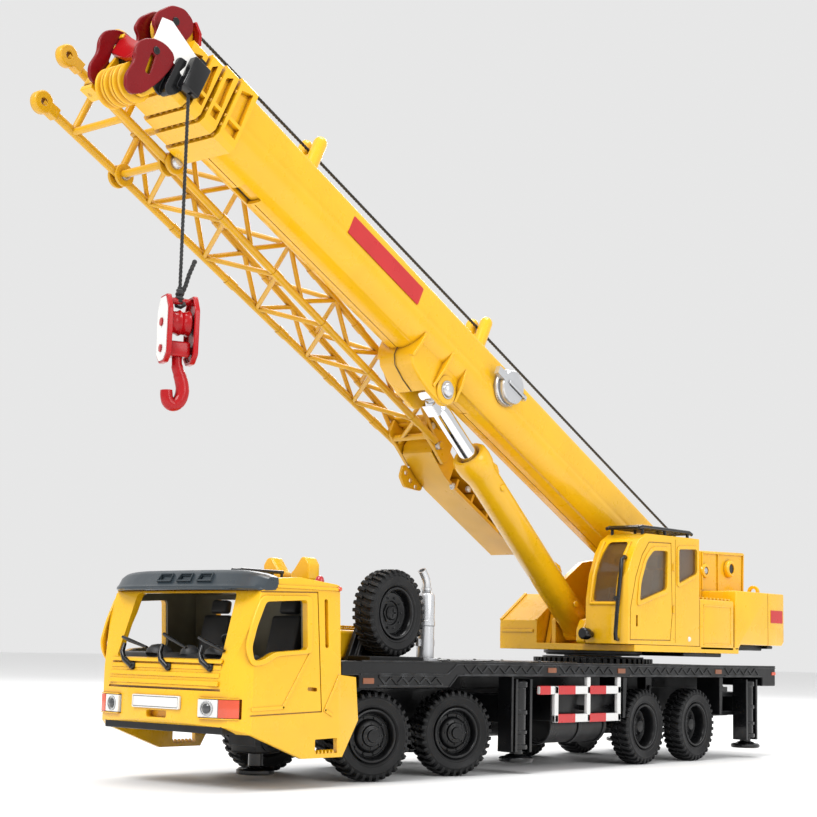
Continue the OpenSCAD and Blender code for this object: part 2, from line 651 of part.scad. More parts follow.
block_turn = 64;          // the block hangs turned about its rope
module on_block() translate(hang_top - [0, 0, 0.1 + hang_length]) rotate([0, 0, block_turn]) children();

block_side = [[-2.2, -1], [2.2, -1], [4.2, -4.6], [4, -15], [1.8, -17], [-1.8, -17], [-4, -15], [-4.2, -4.6]];

// Two cheek plates, a knot bar, a sheave on its axle, and the crosshead that the hook turns in
module hook_block() place() color("#b01c1c") on_block() difference() {
    union() {
        for (side = [-1, 1]) plate(block_side, side > 0 ? 2.6 : -3.8, side > 0 ? 3.8 : -2.6);
        bar_y(0, -2.2, 0.8, -2.6, 2.6);
        bar_z(0, 0, 1.4, -3.6, 0);
        translate([0, 0, -7.2]) rotate([90, 0, 0]) cylinder(r = 3, h = 5.2, center = true);
        box([-2, -2.6, -15.4], [2, 2.6, -11.8]);
    }
    translate([0, 0, -16]) cylinder(r = 1.1 + fit, h = 4.6);
}

// Shank, round bend and point, turning about the block's upright axis
module hook() place() color("#c01f1f") on_block() {
    bar_z(0, 0, 1.1, -18.6, -12.2);
    strut([0, 0, -18.2], [0, 1.6, -21], 1.2);
    translate([0, -1.4, -23]) rotate([0, 90, 0]) rotate([0, 0, 90]) rotate_extrude(angle = 212, $fn = 40)
        translate([2.9, 0]) circle(r = 1.3, $fn = 20);
}

// ---- jib ----

front = [258.3, 230, 106];        // along the boom: swing pins, offset hinge, end of the truss
near_y = [-10, -10.95, -12.6];
far_y = [-30, -30, -27.4];
low_n = [-10, -10, -13.4];
high_n = [5.4, 3.6, -8.4];
function mix(a, b, t) = a + (b - a) * t;
function jib_point(t, side, level) = let (u = mix(front[1], front[2], t))
    [u, mix(side > 0 ? near_y[1] : far_y[1], side > 0 ? near_y[2] : far_y[2], t),
        mix(level > 0 ? high_n[1] : low_n[1], level > 0 ? high_n[2] : low_n[2], t)];
function base_point(side, level) = [front[0], side > 0 ? near_y[0] : far_y[0],
    level > 0 ? high_n[0] : low_n[0]];
bays = 11;

// Stowed lattice jib: a base frame with two swing eyes and two hook-on eyes, then a tapering truss
module jib_truss() place() color("#e9a91a") on_boom() difference() {
    union() {
        for (side = [-1, 1]) for (level = [-1, 1]) {
            strut(base_point(side, level), jib_point(0, side, level), 1.1);
            strut(jib_point(0, side, level), jib_point(1, side, level), 1.1);
        }
        for (level = [-1, 1]) {
            strut(jib_point(0, -1, level), jib_point(0, 1, level), 1);
            strut(jib_point(0.975, -1, level), jib_point(0.975, 1, level), 1);
            strut(mix(base_point(-1, level), jib_point(0, -1, level), 0.4),
                mix(base_point(1, level), jib_point(0, 1, level), 0.4), 0.9);
        }
        for (side = [-1, 1]) {
            strut(jib_point(0, side, -1), jib_point(0, side, 1), 0.9);
            strut(mix(base_point(side, -1), jib_point(0, side, -1), 0.4),
                mix(base_point(side, 1), jib_point(0, side, 1), 0.4), 0.9);
            for (i = [0 : bays - 1]) strut(jib_point(i / bays, side, i % 2 ? -1 : 1),
                jib_point((i + 1) / bays, side, i % 2 ? 1 : -1), 0.7);
        }
        for (level = [-1, 1]) for (i = [0 : bays - 1]) strut(jib_point(i / bays, i % 2 ? -1 : 1, level),
            jib_point((i + 1) / bays, i % 2 ? 1 : -1, level), 0.7);
        for (level = [-1, 1]) {
            translate(base_point(1, level) - [0, 0, 1.2]) cylinder(r = 2.3, h = 2.4);
            translate(base_point(-1, level) + [0, -1.2, 0]) rotate([-90, 0, 0]) cylinder(r = 2.8, h = 2.4);
        }
        plate([[109, -9], [109, -14], [99.6, -17.6], [99.6, -9]], -14, -12.8);
        plate([[109, -9], [109, -14], [99.6, -17.6], [99.6, -9]], -27.2, -26);
    }
    for (level = [-1, 1]) {
        translate(base_point(1, level) - [0, 0, 3]) cylinder(r = 0.9 + fit, h = 6);
        translate(base_point(-1, level) - [0, 3, 0]) rotate([-90, 0, 0]) cylinder(r = 1, h = 6);
    }
    bar_y(103.6, -13.2, 1.1 + fit, -40, 0);
}

// Second jib section: a tapering box that folds down about the pin at the end of the truss
module jib_tip() place() color("#d99a17") on_boom() {
    difference() {
        plate([[104.6, -10.4], [105.2, -13.2], [104.6, -16.2], [92, -21.6], [52, -22.6], [52, -17.4],
            [92, -12.4],
            [99, -10.4]], -25.6, -14.4);
        plate([[93, -13.6], [93, -20.6], [53.4, -21.4], [53.4, -18.4]], -24.6, -15.4);
    }
    bar_y(103.6, -13.2, 1.1, -28.2, -11.8);
    difference() {
        plate([[98.8, -16.6], [98.8, -17.9], [101, -18.2], [101, -22], [96, -22.8], [91.6, -20.6],
            [91.6, -18]],
            -26.6, -25.6);
        for (p = [[99.4, -20.2], [96.4, -20.9]]) bar_y(p[0], p[1], 0.7, -30, -20);
    }
}

chassis_frame();
deck();
cab_shell();
cab_visor();
cab_interior();
headlamps();
boom_rest();
engine_cover();
exhaust();
spare_bracket();
spare_wheel();
side_guards();
slew_ring();
knuckle_left_1();
knuckle_left_2();
knuckle_right_1();
knuckle_right_2();
tyre_left_1();
tyre_left_2();
tyre_right_1();
tyre_right_2();
rim_left_1();
rim_left_2();
rim_right_1();
rim_right_2();
tyres_rear_1();
tyres_rear_2();
wheelset_rear_1();
wheelset_rear_2();
beam_front_left();
beam_front_right();
beam_rear_left();
beam_rear_right();
jack_front_left();
jack_front_right();
jack_rear_left();
jack_rear_right();
jack_centre();
turntable_frame();
crane_cab();
crane_cab_glass();
machine_housing();
counterweight();
winch_drum();
luff_barrel();
luff_rod();
boom_base();
rope_guides();
boom_section_2();
boom_section_3();
boom_section_4();
head_cheeks();
head_sheaves();
top_sheave();
rope_run();
hoist_rope();
hook_block();
hook();
jib_truss();
jib_tip();
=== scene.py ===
"""Toy crane truck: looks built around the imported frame.

Shapes are drawn in millimetres, in a few named frames.
"""

import math
from math import cos, pi, radians, sin

import bmesh
import bpy
from mathutils import Matrix, Vector


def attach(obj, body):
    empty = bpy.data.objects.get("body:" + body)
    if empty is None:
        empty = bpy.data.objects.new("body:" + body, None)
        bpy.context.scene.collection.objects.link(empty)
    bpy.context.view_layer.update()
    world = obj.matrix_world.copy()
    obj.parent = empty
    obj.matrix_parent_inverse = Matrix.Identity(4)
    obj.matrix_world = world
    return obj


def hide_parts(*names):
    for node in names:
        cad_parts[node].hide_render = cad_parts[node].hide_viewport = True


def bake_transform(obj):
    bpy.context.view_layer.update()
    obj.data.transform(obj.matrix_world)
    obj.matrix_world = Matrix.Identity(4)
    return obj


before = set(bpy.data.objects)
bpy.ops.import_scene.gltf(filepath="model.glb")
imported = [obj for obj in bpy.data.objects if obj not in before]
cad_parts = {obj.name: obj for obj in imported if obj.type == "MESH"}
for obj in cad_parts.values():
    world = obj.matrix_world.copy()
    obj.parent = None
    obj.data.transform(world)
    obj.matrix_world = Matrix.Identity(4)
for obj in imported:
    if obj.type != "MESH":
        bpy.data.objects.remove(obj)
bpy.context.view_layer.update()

MM = 0.001
BOOM_ANGLE = radians(26.2)
HOOK_TURN = radians(66)
BOOM_FOOT = (-194, 58.4)
SLEW_X = -158
STEER = radians(20)

# The vehicle frame: X forward from the side skirt's front corner, Y left from the centre plane,
# Z up from the ground
TRUCK = Matrix.Translation((0.09513, 0.0022, 0)) @ Matrix.Scale(MM, 4)
# The boom's frame: X along the boom from its foot pin, Y left, Z across it
BOOM = TRUCK @ Matrix.Translation((BOOM_FOOT[0], 0, BOOM_FOOT[1])) @ Matrix.Rotation(-BOOM_ANGLE, 4, "Y")
UPPER_PIN = (128.2, -11.8)
FOOT = Vector((-150.5, 0, 39.6))


def boom_to_truck(u, y, n):
    """A point of the boom's frame in the vehicle frame."""
    return Vector((BOOM_FOOT[0] + u * cos(BOOM_ANGLE) - n * sin(BOOM_ANGLE), y,
                   BOOM_FOOT[1] + u * sin(BOOM_ANGLE) + n * cos(BOOM_ANGLE)))


LUFF_LINE = boom_to_truck(UPPER_PIN[0], 0, UPPER_PIN[1]) - FOOT
LUFF_SLOPE = math.atan2(LUFF_LINE.z, LUFF_LINE.x)
# The luffing cylinder's frame: Z from its lower pin to its upper pin
CYLINDER = TRUCK @ Matrix.Translation(FOOT) @ Matrix.Rotation(pi / 2 - LUFF_SLOPE, 4, "Y")
HANG_TOP = boom_to_truck(245.9, 9.1, -6.5)
HANG_LENGTH = 47.6
# The hook block's frame: origin at the rope's knot, turned about the rope
KNOT = HANG_TOP - Vector((0, 0, 0.1 + HANG_LENGTH))
BLOCK = TRUCK @ Matrix.Translation(KNOT) @ Matrix.Rotation(HOOK_TURN, 4, "Z")


# ---------------------------------------------------------------- camera

CAMERA_AT = (287.6, 295.5, 32.9)
FOCAL_LENGTH = 73.8
SENSOR_WIDTH = 36


def add_camera():
    data = bpy.data.cameras.new("camera")
    data.lens = FOCAL_LENGTH
    data.sensor_width = SENSOR_WIDTH
    data.clip_start = 0.01
    data.clip_end = 20
    camera = bpy.data.objects.new("camera", data)
    x_axis, y_axis, z_axis = (-0.6395, 0.7684, 0.0233), (0.1235, 0.0727, 0.9897), (0.7588, 0.6358, -0.1413)
    turn = Matrix((x_axis, y_axis, z_axis)).transposed().to_4x4()
    place = TRUCK @ Vector(CAMERA_AT)
    camera.matrix_world = Matrix.Translation(place) @ turn
    bpy.context.scene.collection.objects.link(camera)
    bpy.context.scene.camera = camera


# ---------------------------------------------------------------- shapes

def settle(obj):
    """Applies the object's modifiers."""
    mesh = bpy.data.meshes.new_from_object(obj.evaluated_get(bpy.context.evaluated_depsgraph_get()))
    obj.modifiers.clear()
    obj.data = mesh


def carve(obj, operation, other):
    """Applies a boolean of the object with another shape, which is used up."""
    tool = bpy.data.objects.new("tool", other.mesh_data("tool"))
    bpy.context.scene.collection.objects.link(tool)
    boolean = obj.modifiers.new("boolean", "BOOLEAN")
    boolean.operation = operation
    boolean.solver = "EXACT"
    boolean.use_self = True
    boolean.object = tool
    settle(obj)
    bpy.data.objects.remove(tool)


class Shape:
    """Closed solids collected in one mesh, in millimetres of the frame given."""

    def __init__(self, where=TRUCK):
        self.where = where
        self.mesh = bmesh.new()

    def skin(self, rings, loop=False):
        """Joins rings of equal length into a closed skin, with flat ends unless it loops."""
        rows = [[self.mesh.verts.new(p) for p in ring] for ring in rings]
        count = len(rows[0])
        pairs = list(zip(rows, rows[1:])) + ([(rows[-1], rows[0])] if loop else [])
        for a, b in pairs:
            for i in range(count):
                j = (i + 1) % count
                self.mesh.faces.new((a[i], a[j], b[j], b[i]))
        if not loop:
            self.mesh.faces.new(rows[0][::-1])
            self.mesh.faces.new(rows[-1])
        return self

    def box(self, low, high, turn=None):
        low, high = Vector(low), Vector(high)
        mid, half = (low + high) / 2, (high - low) / 2
        corners = [Vector((sx, sy, sz)) for sz in (-1, 1) for sx, sy in ((-1, -1), (1, -1), (1, 1), (-1, 1))]
        points = [Vector((c.x * half.x, c.y * half.y, c.z * half.z)) for c in corners]
        if turn is not None:
            points = [turn @ p for p in points]
        points = [p + mid for p in points]
        return self.skin([points[:4], points[4:]])

    def prism(self, outline, y0, y1):
        """An outline drawn in X and Z, from y0 to y1."""
        return self.skin([[Vector((x, y, z)) for x, z in outline] for y in (y0, y1)])

    def slab(self, outline, z0, z1):
        """An outline drawn in X and Y, from z0 to z1."""
        return self.skin([[Vector((x, y, z)) for x, y in outline] for z in (z0, z1)])

    def bar(self, a, b, r, sides=20):
        """A round bar between two points."""
        a, b = Vector(a), Vector(b)
        return self.lathe([(r, 0), (r, (b - a).length)], a, b - a, sides)

    def lathe(self, profile, at=(0, 0, 0), axis=(0, 0, 1), sides=40, loop=False):
        """A profile of (radius, height) turned about an axis. Ends on the axis close to a point."""
        turn = Vector((0, 0, 1)).rotation_difference(Vector(axis)).to_matrix()
        at = Vector(at)
        angles = [2 * pi * i / sides for i in range(sides)]
        rings = [[at + turn @ Vector((r * cos(t), r * sin(t), h)) for t in angles] for r, h in profile]
        return self.skin(rings, loop)

    def tube(self, points, r, sides=12, closed=False):
        """A round bar swept along points; r is one radius or one for each point."""
        points = [Vector(p) for p in points]
        radii = r if isinstance(r, (list, tuple)) else [r] * len(points)
        count = len(points)
        normal = None
        rings = []
        for i, p in enumerate(points):
            before = points[i - 1] if closed or i else p
            after = points[(i + 1) % count] if closed or i + 1 < count else p
            along = (after - before).normalized()
            if normal is None:
                normal = along.orthogonal().normalized()
            normal = (normal - along * normal.dot(along)).normalized()
            side = along.cross(normal)
            rings.append([p + radii[i] * (cos(2 * pi * k / sides) * normal + sin(2 * pi * k / sides) * side)
                          for k in range(sides)])
        return self.skin(rings, closed)

    def ball(self, at, r):
        rows = [(r * sin(pi * i / 10), -r * cos(pi * i / 10)) for i in range(11)]
        rows[0], rows[-1] = (0.02 * r, -r), (0.02 * r, r)
        return self.lathe(rows, at, (0, 0, 1), 20)

    def node(self, name):
        """A copy of a CAD node, with its flat faces whole."""
        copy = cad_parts[name].data.copy()
        inverse = self.where.inverted()
        copy.transform(inverse)
        part = bmesh.new()
        part.from_mesh(copy)
        bmesh.ops.remove_doubles(part, verts=part.verts, dist=0.002)
        bmesh.ops.dissolve_limit(part, angle_limit=radians(1), verts=part.verts, edges=part.edges)
        part.to_mesh(copy)
        part.free()
        self.mesh.from_mesh(copy)
        bpy.data.meshes.remove(copy)
        return self

    def mesh_data(self, name):
        bmesh.ops.recalc_face_normals(self.mesh, faces=self.mesh.faces)
        data = bpy.data.meshes.new(name)
        self.mesh.to_mesh(data)
        self.mesh.free()
        if self.where.determinant() < 0:
            data.flip_normals()
        data.transform(self.where)
        return data

    def done(self, name, material, body, bevel=0.2, steps=2, cut=None, replaces=(), smooth=40):
        """Makes the piece: cuts, rounds its edges, gives it a material and lets it ride on a body."""
        obj = bpy.data.objects.new(name, self.mesh_data(name))
        bpy.context.scene.collection.objects.link(obj)
        if cut is not None:
            carve(obj, "DIFFERENCE", cut)
        obj.data.materials.clear()
        obj.data.materials.append(material)
        for face in obj.data.polygons:
            face.use_smooth = True
        if bevel:
            rounding = obj.modifiers.new("rounded_edges", "BEVEL")
            rounding.width = bevel * MM
            rounding.segments = steps
            rounding.limit_method = "ANGLE"
            rounding.angle_limit = radians(smooth - 5)
            rounding.harden_normals = True
        obj.data.set_sharp_from_angle(angle=radians(smooth))
        if body is not None:
            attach(obj, body)
        if replaces:
            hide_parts(*([replaces] if isinstance(replaces, str) else replaces))
        return obj


def arc(centre, r, start, end, steps=10):
    """Points of a flat arc, in degrees."""
    return [(centre[0] + r * cos(radians(start + (end - start) * i / steps)),
             centre[1] + r * sin(radians(start + (end - start) * i / steps))) for i in range(steps + 1)]


def rounded(outline, r, steps=4):
    """The outline with its corners rounded."""
    points = [Vector(p) for p in outline]
    result = []
    for i, p in enumerate(points):
        a, b = (points[i - 1] - p), (points[(i + 1) % len(points)] - p)
        reach = min(r, a.length * 0.45, b.length * 0.45)
        start, end = p + a.normalized() * reach, p + b.normalized() * reach
        for k in range(steps + 1):
            t = k / steps
            q = start * (1 - t) ** 2 + p * 2 * t * (1 - t) + end * t ** 2
            result.append((q.x, q.y))
    return result


def grown(outline, distance):
    """The outline moved outwards, with its corners kept."""
    points = [Vector(p) for p in outline]
    area = sum(a.x * b.y - b.x * a.y for a, b in zip(points, points[1:] + points[:1]))
    sign = 1 if area > 0 else -1
    result = []
    for i, p in enumerate(points):
        d0, d1 = (p - points[i - 1]).normalized(), (points[(i + 1) % len(points)] - p).normalized()
        n0, n1 = Vector((d0.y, -d0.x)) * sign, Vector((d1.y, -d1.x)) * sign
        miter = (n0 + n1).normalized()
        q = p + miter * distance / max(0.4, miter.dot(n0))
        result.append((q.x, q.y))
    return result


def side_line(shape, points, width, y0, y1, closed=False):
    """A thin raised or sunk line along points in X and Z, between y0 and y1."""
    pairs = list(zip(points, points[1:])) + ([(points[-1], points[0])] if closed else [])
    for a, b in pairs:
        a, b = Vector(a), Vector(b)
        along = (b - a).normalized() * width / 2
        side = Vector((-along.y, along.x))
        quad = [a - along - side, b + along - side, b + along + side, a - along + side]
        shape.prism([tuple(q) for q in quad], y0, y1)
    return shape


# ---------------------------------------------------------------- materials

def node_of(tree, kind, **values):
    item = tree.nodes.new(kind)
    for key, value in values.items():
        if key in item.inputs:
            item.inputs[key].default_value = value
        else:
            setattr(item, key, value)
    return item


def material(name, slot, colour, rough=0.35, metallic=0.0, coat=0.0, mottle=0.06, blotch=90, grain=1400,
        bump=0.1, rough_spread=0.08, edge_highlight=None, crevice_shade_and_pooling=None, glass=0.0, sheen=0.0, alpha=1.0, ior=1.5,
        spec=0.5):
    """Moulded or painted surface: colour drift, uneven gloss, fine grain, painted highlights on edges and
    painted shade in crevices (partly pooled paint).
    """
    result = bpy.data.materials.new(name)
    result.use_nodes = True
    result["slot"] = slot
    tree = result.node_tree
    shader = tree.nodes["Principled BSDF"]
    shader.inputs["Metallic"].default_value = metallic
    shader.inputs["Coat Weight"].default_value = coat
    shader.inputs["Coat Roughness"].default_value = 0.06
    shader.inputs["IOR"].default_value = ior
    shader.inputs["Specular IOR Level"].default_value = spec
    shader.inputs["Sheen Weight"].default_value = sheen
    shader.inputs["Transmission Weight"].default_value = glass
    shader.inputs["Alpha"].default_value = alpha
    where = node_of(tree, "ShaderNodeTexCoord")

    def noise(scale, detail=3.0):
        item = node_of(tree, "ShaderNodeTexNoise", Scale=scale, Detail=detail)
        tree.links.new(where.outputs["Object"], item.inputs["Vector"])
        return item.outputs["Fac"]

    def mix(factor, a, b):
        item = tree.nodes.new("ShaderNodeMix")
        item.data_type = "RGBA"
        if isinstance(factor, float):
            item.inputs[0].default_value = factor
        else:
            tree.links.new(factor, item.inputs[0])
        for value, socket in ((a, item.inputs[6]), (b, item.inputs[7])):
            if isinstance(value, tuple):
                socket.default_value = (*value, 1)
            else:
                tree.links.new(value, socket)
        return item.outputs[2]

    def ramp(value, low, high, out_low=0.0, out_high=1.0):
        item = node_of(tree, "ShaderNodeMapRange")
        for key, number in (("From Min", low), ("From Max", high), ("To Min", out_low), ("To Max", out_high)):
            item.inputs[key].default_value = number
        tree.links.new(value, item.inputs["Value"])
        return item.outputs["Result"]

    dark = tuple(c * (1 - 2 * mottle) for c in colour)
    tone = mix(ramp(noise(blotch), 0.35, 0.65), dark, colour)
    # Painted shade: an occlusion mask darkens crevices toward the given colour, partly standing for pooled
    # paint.
    if crevice_shade_and_pooling is not None:
        shade = node_of(tree, "ShaderNodeAmbientOcclusion", samples=4, Distance=0.0012)
        tone = mix(ramp(shade.outputs["AO"], 0.35, 0.85), crevice_shade_and_pooling, tone)
    # Painted highlight: a bevel mask lightens edges toward the given colour, broken up by noise.
    if edge_highlight is not None:
        soft = node_of(tree, "ShaderNodeBevel", samples=4, Radius=0.00035)
        flat = node_of(tree, "ShaderNodeNewGeometry")
        dot = node_of(tree, "ShaderNodeVectorMath", operation="DOT_PRODUCT")
        tree.links.new(soft.outputs["Normal"], dot.inputs[0])
        tree.links.new(flat.outputs["Normal"], dot.inputs[1])
        edge = ramp(dot.outputs["Value"], 0.99, 0.80)
        patchy_highlight = node_of(tree, "ShaderNodeMath", operation="MULTIPLY")
        tree.links.new(edge, patchy_highlight.inputs[0])
        tree.links.new(ramp(noise(260, 4.0), 0.38, 0.62), patchy_highlight.inputs[1])
        tone = mix(patchy_highlight.outputs[0], tone, edge_highlight)
    tree.links.new(tone, shader.inputs["Base Color"])
    gloss = ramp(noise(blotch * 2.3, 4.0), 0.3, 0.7, max(0.02, rough - rough_spread), rough + rough_spread)
    tree.links.new(gloss, shader.inputs["Roughness"])
    if bump:
        relief = node_of(tree, "ShaderNodeBump", Strength=bump, Distance=0.0001)
        tree.links.new(noise(grain, 3.0), relief.inputs["Height"])
        tree.links.new(relief.outputs["Normal"], shader.inputs["Normal"])
    return result


# The yellows, the white, the silver and the reds get darker crevices: painted shade, partly pooled paint.
YELLOW = material("yellow_enamel", "boom_yellow", (0.86, 0.475, 0.004), rough=0.30, coat=0.25, mottle=0.03,
    bump=0.05, grain=900, crevice_shade_and_pooling=(0.34, 0.125, 0.004))
YELLOW_TRUCK = material("yellow_truck_enamel", "carrier_yellow", (0.86, 0.475, 0.004), rough=0.30,
    coat=0.25, mottle=0.03, bump=0.05, grain=900, crevice_shade_and_pooling=(0.34, 0.125, 0.004))
# A darker copy of the boom's yellow: painted shade on the jib.
JIB_YELLOW_IN_SHADE = material("shaded_yellow_jib_enamel", "jib_yellow", (0.72, 0.385, 0.005), rough=0.34, coat=0.15,
    mottle=0.06, bump=0.08, grain=1100, crevice_shade_and_pooling=(0.30, 0.11, 0.004))
YELLOW_SHEAVE = material("yellow_sheave_plastic", "sheave_yellow", (0.84, 0.46, 0.004), rough=0.36, coat=0.15,
                         mottle=0.05, bump=0.08, crevice_shade_and_pooling=(0.40, 0.15, 0.004))
# The black plastics and the tyre rubber get lighter edges: painted highlights.
BLACK = material("black_satin_plastic", "chassis_black", (0.005, 0.0052, 0.006), rough=0.36, coat=0.05,
    spec=0.3, mottle=0.2, bump=0.16, grain=1700, rough_spread=0.1, edge_highlight=(0.10, 0.105, 0.11))
GLOSS_BLACK = material("black_gloss_plastic", "outrigger_black", (0.005, 0.0052, 0.006), rough=0.22,
    coat=0.2, spec=0.35, mottle=0.2, bump=0.1, grain=1200, edge_highlight=(0.07, 0.072, 0.076))
WHEEL_BLACK = material("black_wheel_plastic", "rim_grey", (0.006, 0.0062, 0.007), rough=0.34, coat=0.08,
    spec=0.3, mottle=0.2, bump=0.12, edge_highlight=(0.08, 0.083, 0.088))
TYRE = material("tyre_rubber", "tyre_rubber", (0.008, 0.0082, 0.009), rough=0.52, coat=0.0, spec=0.3,
    mottle=0.25, blotch=60, bump=0.3, grain=2100, rough_spread=0.12, edge_highlight=(0.06, 0.061, 0.064))
SLATE = material("slate_visor_plastic", "visor_slate", (0.030, 0.042, 0.052), rough=0.33, coat=0.1,
    mottle=0.08, bump=0.14, grain=1900)
INTERIOR = material("dark_interior_plastic", "cab_interior_grey", (0.026, 0.028, 0.031), rough=0.5,
    mottle=0.15, bump=0.25, grain=1500)
LAMP = material("clear_lamp_plastic", "lamp_clear", (0.80, 0.80, 0.78), rough=0.13, coat=0.6, mottle=0.04,
    bump=0.04)
LAMP_RED = material("orange_red_lamp_plastic", "lamp_clear", (0.72, 0.085, 0.03), rough=0.16, coat=0.6,
    mottle=0.1, bump=0.05)
LENS = material("grey_lamp_lens", "lamp_clear", (0.055, 0.058, 0.062), rough=0.12, metallic=0.3, coat=0.8,
    bump=0.02)
BEACON = material("red_beacon_plastic", "lamp_clear", (0.50, 0.012, 0.015), rough=0.14, coat=0.7, mottle=0.08)
AMBER = material("amber_marker_paint", "chassis_black", (0.27, 0.085, 0.028), rough=0.35, coat=0.2,
    mottle=0.12)
PLATE = material("white_plate", "lamp_clear", (0.78, 0.77, 0.74), rough=0.34, coat=0.15, mottle=0.03,
    bump=0.05)
WHITE = material("white_guard_plastic", "guard_white", (0.74, 0.74, 0.73), rough=0.34, coat=0.15, mottle=0.03,
                 crevice_shade_and_pooling=(0.28, 0.27, 0.26))
GUARD_RED = material("red_guard_paint", "guard_white", (0.56, 0.014, 0.016), rough=0.32, coat=0.2,
    mottle=0.05)
SILVER = material("silver_paint", "exhaust_silver", (0.66, 0.67, 0.69), rough=0.30, metallic=0.75,
    mottle=0.05, bump=0.1, grain=2200, crevice_shade_and_pooling=(0.2, 0.2, 0.2))
CHROME = material("polished_chrome", "rod_chrome", (0.80, 0.81, 0.83), rough=0.09, metallic=1.0, mottle=0.02,
                  bump=0.02, rough_spread=0.03)
GLASS = material("brown_tinted_glass", "cab_glass", (0.42, 0.30, 0.16), rough=0.05, glass=0.85, mottle=0.05,
    bump=0.0, rough_spread=0.02, coat=0.5, alpha=0.75, ior=1.35)
WINCH = material("dark_winch_plastic", "winch_dark", (0.02, 0.021, 0.023), rough=0.4, mottle=0.15, bump=0.15)
RED = material("dark_red_enamel", "head_red", (0.21, 0.003, 0.006), rough=0.26, coat=0.08, spec=0.25,
    mottle=0.06, bump=0.06, grain=900, crevice_shade_and_pooling=(0.07, 0.002, 0.003))
HOOK_RED = material("bright_red_enamel", "hook_red", (0.42, 0.004, 0.007), rough=0.24, coat=0.10, spec=0.3,
    mottle=0.06, bump=0.06, grain=900, crevice_shade_and_pooling=(0.12, 0.003, 0.004))
LINING = material("olive_cab_lining", "cab_interior_grey", (0.15, 0.135, 0.085), rough=0.5, mottle=0.2,
    bump=0.2)
ROPE = material("black_twisted_cord", "rope_black", (0.009, 0.009, 0.0095), rough=0.75, mottle=0.2, bump=0.5,
                grain=3000, sheen=0.3)


def dress(obj, look):
    """Gives a CAD node that stays in view its finished material."""
    obj.data.materials.clear()
    obj.data.materials.append(look)
    for face in obj.data.polygons:
        face.use_smooth = True
    obj.data.set_sharp_from_angle(angle=radians(30))


# ---------------------------------------------------------------- more shape helpers

def wall(shape, outline, x0, x1):
    """An outline drawn in Y and Z, from x0 to x1."""
    return shape.skin([[Vector((x, y, z)) for y, z in outline] for x in (x0, x1)])


def solid(shape, soften=0.0, steps=4, keep=None, cut=None):
    """A settled shape: kept inside one shape, softened along its edges, then cut by another."""
    where = shape.where
    obj = bpy.data.objects.new("work", shape.mesh_data("work"))
    bpy.context.scene.collection.objects.link(obj)
    for operation, other in (("INTERSECT", keep), ("SOFTEN", soften), ("DIFFERENCE", cut)):
        if not other:
            continue
        if operation == "SOFTEN":
            rounding = obj.modifiers.new("soften", "BEVEL")
            rounding.width = soften * MM
            rounding.segments = steps
            rounding.limit_method = "ANGLE"
            rounding.angle_limit = radians(25)
            settle(obj)
            continue
        carve(obj, operation, other)
    result = Shape(where)
    obj.data.transform(where.inverted())
    result.mesh.from_mesh(obj.data)
    bpy.data.objects.remove(obj)
    return result


def hexagon(shape, at, axis, r, h):
    return shape.lathe([(r, 0), (r, h * 0.7), (r * 0.8, h)], at, axis, 6)


# ---------------------------------------------------------------- wheels

WHEEL_R = 11.15
SPARE = Vector((-41.5, 14.8, 41.6))
SIDES = {"left": 1, "right": -1}
FRONT_AXLES = {1: -30.7, 2: -64.1}
REAR_AXLES = {1: -150.9, 2: -180.9}


def wheel_frame(x, side, track, steer=0.0):
    return (TRUCK @ Matrix.Translation((x, side * track, WHEEL_R)) @ Matrix.Rotation(-steer, 4, "Z")
            @ Matrix.Rotation(-side * pi / 2, 4, "X"))


def tyre_shape(shape):
    """Carcass with ribbed sidewalls, and two staggered rows of tread lugs."""
    lugs = 34
    wall_side = [(6.65, 2.3), (7.0, 2.75), (7.35, 3.0), (7.6, 2.85), (8.9, 3.1), (9.1, 3.22), (9.35, 3.1),
        (9.9, 2.95), (10.25, 2.55), (10.3, 1.0)]
    profile = [(r, -h) for r, h in wall_side] + [(r, h) for r, h in wall_side[::-1]]
    shape.lathe(profile, sides=102, loop=True)
    for row in (-1, 1):
        for i in range(lugs):
            middle = 2 * pi * (i + (0.25 if row > 0 else -0.25)) / lugs
            lean = -row * 0.07
            rings = []
            for h, low, high, width, turn in ((0.15, 10.1, WHEEL_R, 0.046, lean),
                    (2.2, 10.0, WHEEL_R - 0.02, 0.052, 0), (3.0, 9.75, 10.8, 0.05, 0),
                    (3.2, 9.5, 10.35, 0.04, 0)):
                ring = []
                for r, a in ((low, -1), (high, -0.8), (high, 0.8), (low, 1)):
                    t = middle + turn + a * width
                    ring.append(Vector((r * cos(t), r * sin(t), row * h)))
                rings.append(ring)
            shape.skin(rings)
    return shape


def rim_ring(shape):
    return shape.lathe([(6.62, -2.6), (6.62, 2.5), (6.5, 2.85), (6.1, 2.95), (5.85, 2.7), (5.6, 2.2),
        (5.5, 0.8), (5.45, -2.6)], sides=64, loop=True)


def bolt_circle(shape, r, count, base, size=0.33, h=0.4):
    for i in range(count):
        t = 2 * pi * i / count
        hexagon(shape, (r * cos(t), r * sin(t), base), (0, 0, 1), size, h)
    return shape


def front_rim(shape):
    """Rim with a raised planetary hub, open round the stub axle."""
    rim_ring(shape)
    shape.lathe([(0.02, 2.98), (1.27, 2.98), (1.27, -0.8), (5.55, -0.8), (5.55, 0.7), (5.2, 1.0),
        (4.9, 0.7), (4.2, 0.7), (4.0, 1.4), (3.5, 1.9), (2.7, 2.05), (2.5, 2.6), (1.6, 2.75), (1.45, 3.3),
        (0.02, 3.35)], sides=48)
    bolt_circle(shape, 4.55, 10, 0.7)
    bolt_circle(shape, 3.1, 8, 1.95, 0.27, 0.35)
    bolt_circle(shape, 2.05, 6, 2.62, 0.2, 0.25)
    return shape


